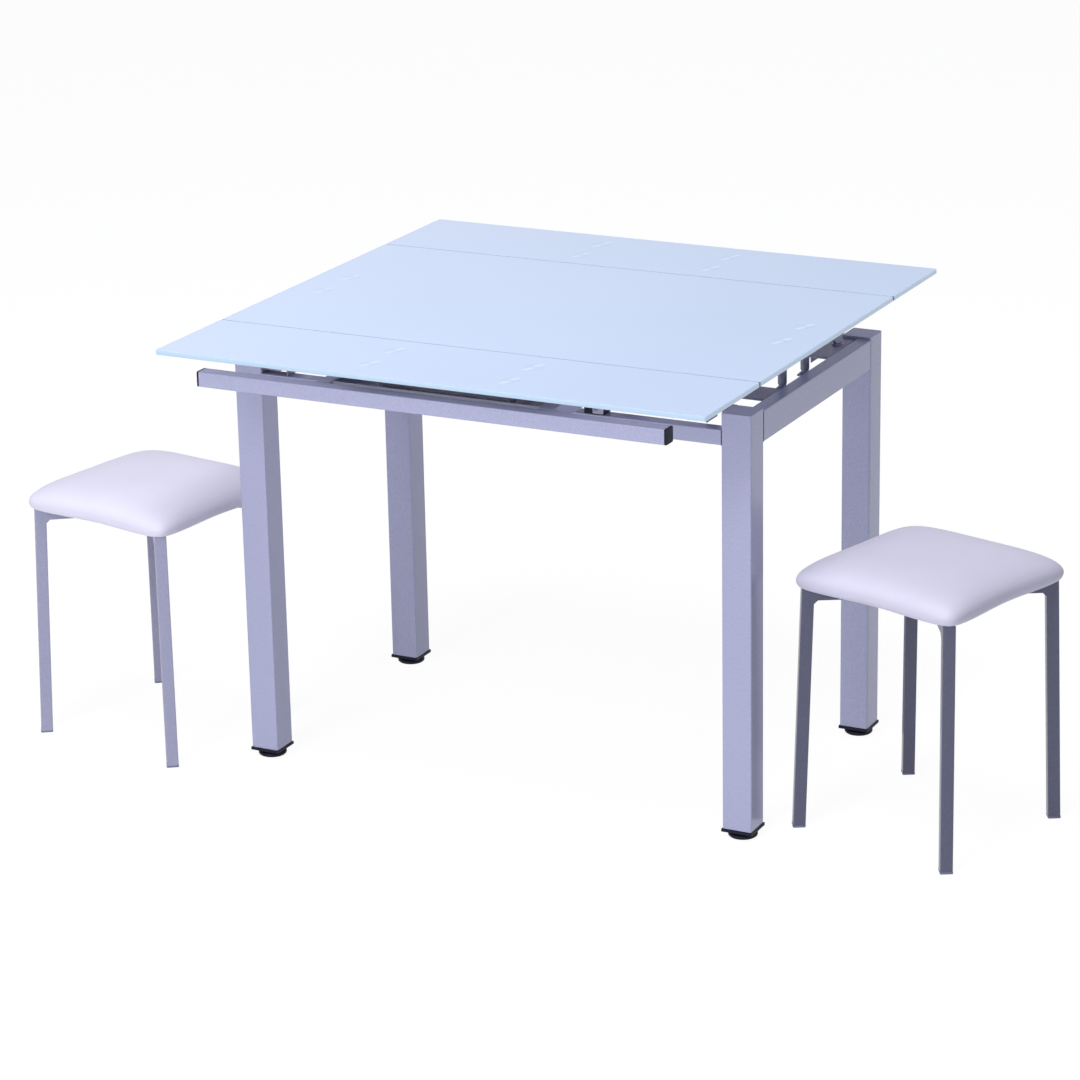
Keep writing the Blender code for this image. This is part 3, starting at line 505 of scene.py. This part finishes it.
def joinPieces(name, pieces):
    bm = bmesh.new()
    for piece in pieces:
        bm.from_mesh(piece.data)
        bpy.data.objects.remove(piece)
    return newPiece(name, bm)


# Table top: three panes of coated glass
pane = {"corner": 4 * mm, "edge": 1.1 * mm}
bond = {"postPadRadius": 13 * mm, "fromBracketMiddle": 40.5 * mm}


def postAxis(node):
    # The upright axis of a round post and the way in from its rail: 1 or -1 along X.
    low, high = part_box(node)
    inward = 1 if node.endswith("left") else -1
    x = (high.x if inward > 0 else low.x) - inward * bond["postPadRadius"]
    return x, (low.y + high.y) / 2, inward


def padPlaces(node):
    # Where a post or bracket is bonded under the glass: the middles of its pads.
    if node.startswith("glass_post"):
        return [postAxis(node)[:2]]
    low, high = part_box(node)
    x, y = (low.x + high.x) / 2, (low.y + high.y) / 2
    step = bond["fromBracketMiddle"]
    return [(x, y - step), (x, y + step)]


def makePane(node, brackets, body):
    low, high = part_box(node)
    bm = bmesh.new()
    roundedBlock(bm, low, high, pane["corner"], pane["edge"])
    piece = newPiece(node + "_pane", bm)
    pads = [place for bracket in brackets for place in padPlaces(bracket)]
    seamSide = {"glass_centre": 0, "glass_leaf_front": 1, "glass_leaf_back": -1}[node]
    glass = makeCoatedGlass(node + "_coatedGlass", pads, low, high, seamSide)
    finishPiece(piece, glass, body, [node], 30)
    evenFaces(piece)


makePane("glass_centre", ["glass_post_" + corner for corner in corners], "table")
for side in ("front", "back"):
    makePane("glass_leaf_" + side, ["leaf_bracket_" + side + "_left", "leaf_bracket_" + side + "_right"],
             "leaf_" + side)
print("panes made")


# Painted frame of the table
softEdge = {"leg": 1.0 * mm, "tube": 0.5 * mm, "post": 0.6 * mm, "sheet": 0.7 * mm, "insert": 0.7 * mm,
            "block": 0.8 * mm, "foldedSheet": 0.5 * mm, "stoolTube": 0.4 * mm}
for corner in corners:
    softened("leg_" + corner, tablePaint, softEdge["leg"], 3)
for name in ("side_rail_left", "side_rail_right", "long_rail_front", "long_rail_back",
             "pull_bar_front", "pull_bar_back"):
    softened(name, tablePaint, softEdge["tube"])
# Posts, plates and brackets under the glass take the darker copy of the coat: painted shade.
for corner in corners:
    softened("arm_" + corner, tablePaint, softEdge["tube"])
    softened("glass_post_" + corner, shadedCopyPaint, softEdge["post"])
for name in ("cross_plate_front", "cross_plate_back", "corner_bracket_front_left",
             "corner_bracket_front_right", "corner_bracket_back_right"):
    softened(name, shadedCopyPaint, softEdge["sheet"])

# Welds: a bead round the end of each rail, where it meets a leg, and of each arm at its bar
weld = {"radius": 0.5 * mm, "ripple": 0.12 * mm, "pitch": 3.2 * mm, "corner": 2.0 * mm}


def weldRing(centre, halfWide, halfHigh, axis):
    # A closed bead round a rectangle that faces along the axis, with the ripples of the torch.
    corner = weld["corner"]
    points = []
    for sx, sz, start in ((1, 1, 0), (-1, 1, 90), (-1, -1, 180), (1, -1, 270)):
        for i in range(4):
            angle = math.radians(start + i * 30)
            points.append((sx * (halfWide - corner) + corner * math.cos(angle),
                           sz * (halfHigh - corner) + corner * math.sin(angle)))
    path = []
    for (ax, az), (bx, bz) in zip(points, points[1:] + points[:1]):
        count = max(1, round(math.hypot(bx - ax, bz - az) / (weld["pitch"] / 2)))
        path += [(ax + (bx - ax) * i / count, az + (bz - az) * i / count) for i in range(count)]
    curve = bpy.data.curves.new("bead", "CURVE")
    curve.dimensions = "3D"
    curve.bevel_depth = weld["radius"]
    curve.bevel_resolution = 2
    spline = curve.splines.new("POLY")
    spline.use_cyclic_u = True
    spline.points.add(len(path) - 1)
    for i, (point, (across, height)) in enumerate(zip(spline.points, path)):
        offset = (0.0, across, height) if axis == "X" else (across, 0.0, height)
        point.co = (*(Vector(centre) + Vector(offset)), 1.0)
        point.radius = 1.0 + (weld["ripple"] / weld["radius"]) * (i % 2)
    return curve


def addWelds(name, rings, material, body):
    curves = [weldRing(*ring) for ring in rings]
    bm = bmesh.new()
    for curve in curves:
        holder = bpy.data.objects.new("bead", curve)
        bpy.context.scene.collection.objects.link(holder)
        bpy.context.view_layer.update()
        mesh = bpy.data.meshes.new_from_object(holder.evaluated_get(bpy.context.evaluated_depsgraph_get()))
        bm.from_mesh(mesh)
        bpy.data.objects.remove(holder)
        bpy.data.meshes.remove(mesh)
    finishPiece(newPiece(name, bm), material, body, angle=80)


frameRings = []
for side in ("left", "right"):
    low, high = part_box("side_rail_" + side)
    for y in (low.y, high.y):
        centre = ((low.x + high.x) / 2, y, (low.z + high.z) / 2)
        frameRings.append((centre, (high.x - low.x) / 2, (high.z - low.z) / 2, "Y"))
for side in ("front", "back"):
    low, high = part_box("long_rail_" + side)
    for x in (low.x, high.x):
        centre = (x, (low.y + high.y) / 2, (low.z + high.z) / 2)
        frameRings.append((centre, (high.y - low.y) / 2, (high.z - low.z) / 2, "X"))
addWelds("frame_welds", frameRings, tablePaint, "table")
armRings = []
for corner in corners:
    low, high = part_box("arm_" + corner)
    y = low.y if corner.startswith("front") else high.y
    centre = ((low.x + high.x) / 2, y, (low.z + high.z) / 2)
    armRings.append((centre, (high.x - low.x) / 2, (high.z - low.z) / 2, "Y"))
addWelds("arm_welds", armRings, tablePaint, "table")
print("painted frame made")


# Feet: a square insert and a turned glide under each leg
foot = {"baseRadius": 23.8 * mm, "baseHeight": 6.6 * mm, "neckRadius": 16.5 * mm, "round": 2.0 * mm,
        "height": 11.5 * mm, "stemRadius": 4 * mm}


def makeGlide(corner):
    low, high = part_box("glide_" + corner)
    middle = Vector(((low.x + high.x) / 2, (low.y + high.y) / 2, 0.0))
    top, stem = foot["height"], foot["stemRadius"]
    r, h, n, c = foot["baseRadius"], foot["baseHeight"], foot["neckRadius"], foot["round"]
    profile = [(0.0, 0.0), (r - 2.2 * c, 0.0), (r - c, 0.4 * c), (r - 0.3 * c, c), (r, 1.7 * c)]
    profile += [(r, h - 0.6 * c), (r - 0.3 * c, h), (r - c, h + 0.5 * c)]
    profile += [(n + 2.4 * mm, h + 2.0 * mm), (n + 0.6 * mm, h + 3.0 * mm), (n, h + 4.0 * mm), (n, top)]
    profile += [(stem, top), (stem, high.z), (0.0, high.z)]
    piece = turnedPiece("glide_" + corner + "_turned", profile, middle)
    finishPiece(piece, blackNylon, "glide_" + corner, ["glide_" + corner], 50)


for corner in corners:
    softened("foot_insert_" + corner, blackNylon, softEdge["insert"], 3)
    makeGlide(corner)
print("feet made")


# Caps in the ends of the pull bars
barCap = {"corner": 2.4 * mm, "edge": 0.6 * mm}
for corner in corners:
    low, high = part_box("bar_cap_" + corner)
    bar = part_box("pull_bar_" + corner.split("_")[0])
    if corner.endswith("left"):
        high = Vector((bar[0].x, high.y, high.z))
    else:
        low = Vector((bar[1].x, low.y, low.z))
    bm = bmesh.new()
    roundedBlock(bm, low, high, barCap["corner"], barCap["edge"], upright=0)
    finishPiece(newPiece("bar_cap_" + corner + "_moulded", bm), blackNylon, "table",
                ["bar_cap_" + corner], 50)


# Screws and bolts
def panScrew(name, place, axis, radius, height):
    # A domed head, lying on its face, with a round socket.
    socket = radius * 0.38
    profile = [(0.0, height * 0.35), (socket, height * 0.35), (socket * 1.05, height * 0.97),
               (radius * 0.62, height), (radius * 0.88, height * 0.72), (radius, height * 0.3), (radius, 0.0),
               (0.0, 0.0)]
    return turnedPiece(name, profile, place, axis, 28)


def hexBolt(name, place, radius, height):
    # A washer and a six sided head, both lying on their face.
    bm = bmesh.new()
    thick = 1.2 * mm
    for sides, r, z0, z1 in ((32, radius * 1.45, 0.0, thick), (6, radius, thick, thick + height)):
        where = Matrix.Translation(Vector(place) + Vector((0.0, 0.0, (z0 + z1) / 2)))
        made = bmesh.ops.create_cone(bm, cap_ends=True, segments=sides, radius1=r, radius2=r, depth=z1 - z0,
                                     matrix=where)["verts"]
        rims = [e for e in {e for v in made for e in v.link_edges}
                if abs(e.verts[0].co.z - e.verts[1].co.z) < 0.01 * mm]
        bmesh.ops.bevel(bm, geom=rims, offset=0.35 * mm, segments=2, profile=0.5, affect="EDGES")
    return newPiece(name, bm)


# Radius and height of each head, and where it sits on its bracket
postNut = {"head": (6.2 * mm, 5.2 * mm), "up": 28 * mm}
postScrew = {"head": (4.2 * mm, 2.3 * mm), "up": 11 * mm, "wall": 3 * mm}
cornerBolt = {"head": (7.0 * mm, 5.0 * mm), "inset": 16 * mm}
railScrew = {"head": (4.5 * mm, 2.4 * mm)}

heads = []
for corner in corners:
    # A lock nut on its washer under each round post, and a screw through the angle on the rail.
    low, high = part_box("glass_post_" + corner)
    x, y, inward = postAxis("glass_post_" + corner)
    heads.append(hexBolt("nut", (x, y, low.z + postNut["up"]), *postNut["head"]))
    wall = low.x + postScrew["wall"] if inward > 0 else high.x - postScrew["wall"]
    spot = Vector((wall, y, low.z + postScrew["up"]))
    heads.append(panScrew("screw", spot, "X" if inward > 0 else "-X", *postScrew["head"]))
finishPiece(joinPieces("post_screws", heads), zincPlate, "table", angle=40)
low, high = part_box("corner_bracket_back_right")
spot = (high.x - cornerBolt["inset"], low.y + cornerBolt["inset"], high.z)
finishPiece(hexBolt("corner_bracket_bolt", spot, *cornerBolt["head"]), zincPlate, "table",
            angle=30)
heads = []
for corner in ("front_left", "front_right"):
    low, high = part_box("corner_bracket_" + corner)
    spot = Vector(((low.x + high.x) / 2, (low.y + high.y) / 2, high.z))
    heads.append(panScrew("screw", spot, "Z", *railScrew["head"]))
finishPiece(joinPieces("rail_bracket_screws", heads), zincPlate, "table", angle=30)
print("caps and screws made")


# Carriages: saddle blocks with steel clips, and the folded trays
for corner in corners:
    softened("arm_guide_" + corner, blackNylon, softEdge["block"], 3)
# The trays take the paler copy of the coat: painted light.
for side in ("front", "back"):
    softened("tray_" + side, litCopyTrayPaint, softEdge["foldedSheet"])

# On the outer face of each block a small zinc clip and its screw
clip = {"sheet": 1.0 * mm, "low": 1.5 * mm, "height": 15 * mm, "pastMiddle": 2 * mm, "corner": 2.0 * mm,
        "edge": 0.3 * mm, "screwIn": 6 * mm, "screwHead": (3.6 * mm, 2.0 * mm)}
clips = []
for corner in corners:
    low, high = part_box("arm_guide_" + corner)
    outward = -1 if corner.startswith("front") else 1
    face = low.y if outward < 0 else high.y
    y0, y1 = sorted((face, face + outward * clip["sheet"]))
    end = (low.x + high.x) / 2 - clip["pastMiddle"]
    base = low.z + clip["low"]
    bm = bmesh.new()
    roundedBlock(bm, (end, y0, base), (high.x, y1, base + clip["height"]), clip["corner"], clip["edge"],
                 upright=1)
    clips.append(newPiece("clip", bm))
    spot = Vector((end + clip["screwIn"], face + outward * clip["sheet"], base + clip["height"] / 2))
    clips.append(panScrew("clipScrew", spot, "-Y" if outward < 0 else "Y", *clip["screwHead"]))
finishPiece(joinPieces("guide_clips", clips), zincPlate, "table", angle=35)


# Lifts: bent rods and the brackets bonded to the leaves
rod = {"radius": 2.5 * mm, "bend": 4.0 * mm, "end": 125.5 * mm, "crank": 116.5 * mm}
washer = {"fromEnd": 1.2 * mm, "rim": 4.6 * mm, "thick": 1.0 * mm}


def bentRod(name, lower, upper):
    shift = upper - lower
    left, right = Vector((-rod["crank"], 0, 0)), Vector((rod["crank"], 0, 0))
    turns = [Vector((-rod["end"], 0, 0)) + shift, left + shift, left, right, right + shift,
             Vector((rod["end"], 0, 0)) + shift]
    path = [turns[0]]
    for before, here, after in zip(turns, turns[1:], turns[2:]):
        arrive, leave = (before - here).normalized(), (after - here).normalized()
        middle = here + (arrive + leave) * rod["bend"]
        for i in range(9):
            angle = math.pi / 2 * i / 8
            path.append(middle - leave * rod["bend"] * math.cos(angle) - arrive * rod["bend"] * math.sin(angle))
    path.append(turns[-1])
    curve = bpy.data.curves.new(name, "CURVE")
    curve.dimensions = "3D"
    curve.bevel_depth = rod["radius"]
    curve.bevel_resolution = 8
    curve.use_fill_caps = True
    spline = curve.splines.new("POLY")
    spline.points.add(len(path) - 1)
    for point, spot in zip(spline.points, path):
        point.co = (*(lower + spot), 1.0)
    spline.use_smooth = True
    piece = bpy.data.objects.new(name, curve)
    bpy.context.scene.collection.objects.link(piece)
    return piece


for side in ("front", "back"):
    outerLow = Vector(joints["leaf_" + side + "_lift"]["pos_m"])
    outerHigh = Vector(joints["leaf_" + side + "_level"]["pos_m"])
    innerLow = Vector(joints["inner_rod_" + side + "_swing"]["pos_m"])
    innerHigh = innerLow + outerHigh - outerLow
    for which, low, high in (("outer", outerLow, outerHigh), ("inner", innerLow, innerHigh)):
        node = which + "_rod_" + side
        finishPiece(bentRod(node + "_bent", low, high), zincPlate, node, [node])
    for end in ("left", "right"):
        softened("leaf_bracket_" + side + "_" + end, zincPlate, softEdge["foldedSheet"])
    # A push-on washer holds each end of a rod in its bracket.
    hole, rim, thick = rod["radius"], washer["rim"], washer["thick"]
    profile = [(hole, 0.0), (rim - 0.2 * mm, 0.0), (rim, 0.3 * mm), (rim - 0.4 * mm, 0.8 * mm), (hole, thick)]
    washers = []
    for high in (outerHigh, innerHigh):
        for end in (-1, 1):
            spot = high + Vector((end * (rod["end"] - washer["fromEnd"]), 0, 0))
            washers.append(turnedPiece("washer", profile, spot, "X" if end > 0 else "-X", 28))
    finishPiece(joinPieces("rod_washers_" + side, washers), blackZinc, "leaf_" + side)
print("carriages and lifts made")


# Stools: welded hoops, plugs, board and the padded seat
stool = {
    "tube": 20 * mm,
    "plugHeight": 3.2 * mm,
    "plugProud": 0.35 * mm,
    "plugCorner": 2.2 * mm,
    "plugEdge": 0.6 * mm,
    "seatHalf": 157 * mm,
    "seatBase": 402.5 * mm,
    "rim": 12 * mm,         # the widest ring lies this far above the base
    "rimRow": -0.2,
    "crown": 38 * mm,       # from the widest ring to the top
    "crownShare": 0.62,
    "roundOut": 3.6,        # how full the curve from crown to rim is, outwards and upwards
    "roundUp": 2.3,
    "roundness": 2.2,       # power of the rings at the crown, and at the rim
    "squareness": 14,
    "sidePull": 5 * mm,
    "cornerDrop": 3 * mm,
    "tuck": 9 * mm,         # the sheet turns in below the rim, where it is stapled under the board
    "pucker": 0.9 * mm,     # small folds at the corners, where the sheet is gathered
    "puckerPitch": 13 * mm,
}


def stoolPlace(side):
    low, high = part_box("stool_" + side + "_board")
    middle = (low + high) / 2
    # The board is square: its turn follows from where its lowest corner in Y lies.
    verts = [v.co for v in nodes["stool_" + side + "_board"].data.vertices]
    tip = min(verts, key=lambda v: v.y)
    angle = math.atan2(tip.y - middle.y, tip.x - middle.x) + math.radians(45)
    turn = (angle + math.pi / 4) % (math.pi / 2) - math.pi / 4
    return Matrix.Translation((middle.x, middle.y, 0.0)) @ Matrix.Rotation(turn, 4, "Z")


def seatPoint(u, v, w):
    # A point of the cube from -1 to 1, drawn to a padded square: the crown runs down to the rim in one curve
    # and the sheet turns in below it. Rings round the middle of the crown are round, squarer towards the rim.
    look = stool
    ring = max(abs(u), abs(v))
    level = look["rimRow"]
    if w > 0.999:
        down = look["crownShare"] * ring
    else:
        down = min(1.0, look["crownShare"] + (1 - look["crownShare"]) * (1 - w) / (1 - level))
    under = math.pi / 2 * max(0.0, (level - w) / (level + 1))
    turn = math.pi / 2 * down
    reach = math.sin(turn) ** (2 / look["roundOut"])
    rise = max(0.0, math.cos(turn)) ** (2 / look["roundUp"])
    if w < -0.999:
        reach *= ring
    side, end = (u / ring, v / ring) if ring > 0 else (0.0, 0.0)
    corner = (2 * side * end / (side ** 2 + end ** 2)) ** 2 if ring > 0 else 0.0
    power = look["roundness"] + (look["squareness"] - look["roundness"]) * down ** 2
    rounded = (abs(side) ** power + abs(end) ** power) ** (1 / power) if ring > 0 else 1.0
    half = look["seatHalf"] - look["sidePull"] * (1 - corner) * down ** 2
    half -= look["tuck"] * (1 - 0.4 * corner) * (1 - math.cos(under))
    fold = math.sin(math.tau * (abs(side) + abs(end)) * look["seatHalf"] / look["puckerPitch"])
    half -= look["pucker"] * (0.5 + 0.5 * fold) * corner ** 4 * math.sin(under)
    height = look["seatBase"] + look["rim"] * (1 - math.sin(under))
    height += rise * (look["crown"] - look["cornerDrop"] * corner ** 2 * down ** 3)
    return Vector((side * reach * half / rounded, end * reach * half / rounded, height))


# The stretched sheet as cloth: how stiff it is, how hard the foam presses and how far a point may move
stretch = {"frames": 20, "quality": 6, "mass": 0.35, "tension": 60, "shear": 40, "bending": 12,
           "pressure": 3.0, "cap": 5 * mm, "heldBelow": 5 * mm}


def inflate(piece):
    # Cloth blown up by the foam under it: the underside is held, and no point moves beyond the cap.
    start = [v.co.copy() for v in piece.data.vertices]
    group = piece.vertex_groups.new(name="held")
    level = stool["seatBase"] + stretch["heldBelow"]
    group.add([v.index for v in piece.data.vertices if v.co.z < level], 1.0, "REPLACE")
    cloth = piece.modifiers.new("stretch", "CLOTH")
    settings = cloth.settings
    settings.quality = stretch["quality"]
    settings.mass = stretch["mass"]
    settings.tension_stiffness = stretch["tension"]
    settings.compression_stiffness = stretch["tension"]
    settings.shear_stiffness = stretch["shear"]
    settings.bending_stiffness = stretch["bending"]
    settings.use_pressure = True
    settings.uniform_pressure_force = stretch["pressure"]
    settings.vertex_group_mass = "held"
    settings.effector_weights.gravity = 0.0
    cloth.point_cache.frame_start = 1
    cloth.point_cache.frame_end = stretch["frames"]
    scene = bpy.context.scene
    for number in range(1, stretch["frames"] + 1):
        scene.frame_set(number)
    shaped = piece.evaluated_get(bpy.context.evaluated_depsgraph_get())
    moved = [v.co.copy() for v in shaped.data.vertices]
    steps = [(b - a).length for a, b in zip(start, moved)]
    print("cloth moved: most %.2f mm, mean %.2f mm" % (max(steps) / mm, sum(steps) / len(steps) / mm))
    piece.modifiers.remove(cloth)
    for vert, before, after in zip(piece.data.vertices, start, moved):
        step = after - before
        vert.co = before + step * min(1.0, stretch["cap"] / step.length if step.length > 0 else 1.0)
    piece.vertex_groups.clear()
    scene.frame_set(1)


def makeSeat(side):
    bm = bmesh.new()
    bmesh.ops.create_cube(bm, size=2.0)
    bmesh.ops.subdivide_edges(bm, edges=bm.edges, cuts=25, use_grid_fill=True)
    for vert in bm.verts:
        vert.co = seatPoint(*vert.co)
    piece = newPiece("seat_" + side + "_leatherette", bm)
    inflate(piece)
    smooth = piece.modifiers.new("finer", "SUBSURF")
    smooth.levels = 1
    smooth.render_levels = 1
    piece.matrix_world = stoolPlace(side)
    finishPiece(piece, seatLeatherettes[side], "stool_" + side, ["stool_" + side + "_cushion"],
                180)


def makeStool(side):
    place = stoolPlace(side)
    for hoop in ("lower_hoop", "upper_hoop"):
        softened("stool_" + side + "_" + hoop, stoolPaints[side], softEdge["stoolTube"])
    plugs = []
    local = place.inverted()
    low = [local @ v.co for v in nodes["stool_" + side + "_lower_hoop"].data.vertices if v.co.z < 1 * mm]
    r = max(math.hypot(p.x, p.y) for p in low) - stool["tube"] / 2
    half = stool["tube"] / 2 + stool["plugProud"]
    for i in range(4):
        bm = bmesh.new()
        roundedBlock(bm, (r - half, -half, 0.0), (r + half, half, stool["plugHeight"]),
                     stool["plugCorner"], stool["plugEdge"])
        spin = place @ Matrix.Rotation(math.radians(45 + 90 * i), 4, "Z")
        bmesh.ops.transform(bm, matrix=spin, verts=bm.verts)
        plugs.append(newPiece("plug", bm))
    finishPiece(joinPieces("stool_" + side + "_plugs", plugs), greyPolyethylene, "stool_" + side,
                angle=50)
    board = nodes["stool_" + side + "_board"]
    board.data.materials.clear()
    board.data.materials.append(birchPlywood)
    makeSeat(side)


for side in ("left", "right"):
    makeStool(side)
print("stools made")


# Studio: a white paper floor, a soft lamp high in front, a weak low one in front and one overhead.
# The surround is white to the camera and in reflections, and lights the set with a weak bluish tint.
studio = {
    "surround": 0.24,
    "surroundTint": "#E4E7F8",
    "floor": "#FAFAFC",
    "floorHalf": 14.0,
    "floorSunk": 0.4 * mm,
    "floorRoughness": 0.9,
    "floorGlow": 1.05,      # brightness of the paper as it is seen, and how much of what is seen it makes up
    "floorGlowShare": 0.9,
    "key": {"place": (-0.6, -6.4, 5.0), "aim": (0.0, 0.0, 0.4), "size": 3.0, "power": 232},
    "fill": {"place": (-0.5, -6.2, 1.0), "aim": (0.0, 0.0, 0.55), "size": 1.8, "power": 66},
    "top": {"place": (0.3, -1.1, 4.6), "aim": (0.0, -0.1, 0.5), "size": 2.0, "power": 120},
}


def makeLamp(name, look):
    lamp = bpy.data.lights.new(name, "AREA")
    lamp.size = look["size"]
    lamp.energy = look["power"]
    holder = bpy.data.objects.new(name, lamp)
    bpy.context.scene.collection.objects.link(holder)
    holder.location = look["place"]
    aim = Vector(look["aim"]) - Vector(look["place"])
    holder.rotation_euler = aim.to_track_quat("-Z", "Y").to_euler()


for name in ("key", "fill", "top"):
    makeLamp(name, studio[name])


def seenRays(owner):
    # 1 for rays that see the background: straight from the camera, in a gloss, or through glass.
    path = addNode(owner, "ShaderNodeLightPath")
    most = path.outputs["Is Camera Ray"]
    for name in ("Is Glossy Ray", "Is Transmission Ray"):
        most = addNode(owner, "ShaderNodeMath", {"operation": "MAXIMUM"},
                       links={0: most, 1: path.outputs[name]}).outputs[0]
    return most


world = bpy.data.worlds.new("whiteSurround")
world.use_nodes = True
bpy.context.scene.world = world
seen = seenRays(world)
strength = addNode(world, "ShaderNodeMapRange", values={"To Min": studio["surround"], "To Max": 1.0},
                   links={"Value": seen})
tint = addNode(world, "ShaderNodeMix", {"data_type": "RGBA"},
               {6: toLinear(studio["surroundTint"]), 7: (1.0, 1.0, 1.0, 1.0)}, {0: seen})
feed(world, world.node_tree.nodes["Background"], {"Color": tint.outputs[2], "Strength": strength.outputs[0]})

bm = bmesh.new()
bmesh.ops.create_grid(bm, x_segments=1, y_segments=1, size=studio["floorHalf"])
floor = newPiece("studio_floor", bm)
floor.location.z = -studio["floorSunk"]
paper = bpy.data.materials.new("whitePaperFloor")
paper.use_nodes = True
diffuse = paper.node_tree.nodes["Principled BSDF"]
diffuse.inputs["Base Color"].default_value = toLinear(studio["floor"])
diffuse.inputs["Roughness"].default_value = studio["floorRoughness"]
glow = addNode(paper, "ShaderNodeEmission",
               values={"Color": (1.0, 1.0, 1.0, 1.0), "Strength": studio["floorGlow"]})
share = addNode(paper, "ShaderNodeMath", {"operation": "MULTIPLY"}, {1: studio["floorGlowShare"]},
                {0: seenRays(paper)})
mix = addNode(paper, "ShaderNodeMixShader",
              links={0: share.outputs[0], 1: diffuse.outputs[0], 2: glow.outputs[0]})
feed(paper, paper.node_tree.nodes["Material Output"], {"Surface": mix.outputs[0]})
floor.data.materials.append(paper)
floor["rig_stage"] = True


# Camera, from the fit to the corners and seams of the glass and the legs. Place in metres, turns in radians.
lens = {
    "place": Vector((2.58798168, -5.17157166, 2.28863054)),
    "azimuth": 0.4706436067,
    "elevation": 0.3215735104,
    "roll": -0.0198212090,
    "focal": 122.148,
    "sensor": 36.0,
}
camera = bpy.data.cameras.new("camera")
camera.lens = lens["focal"]
camera.sensor_width = lens["sensor"]
holder = bpy.data.objects.new("camera", camera)
bpy.context.scene.collection.objects.link(holder)
az, el, roll = lens["azimuth"], lens["elevation"], lens["roll"]
back = Vector((math.sin(az) * math.cos(el), -math.cos(az) * math.cos(el), math.sin(el)))
right = Vector((math.cos(az), math.sin(az), 0.0))
up = back.cross(right)
tiltRight = right * math.cos(roll) + up * math.sin(roll)
tiltUp = up * math.cos(roll) - right * math.sin(roll)
turn = Matrix((tiltRight, tiltUp, back)).transposed().to_4x4()
holder.matrix_world = Matrix.Translation(lens["place"] + Vector((setMiddle.x, 0.0, 0.0))) @ turn
bpy.context.scene.camera = holder
bpy.context.scene.view_settings.view_transform = "Standard"

bpy.context.view_layer.update()
low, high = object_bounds()
print("scene ready")
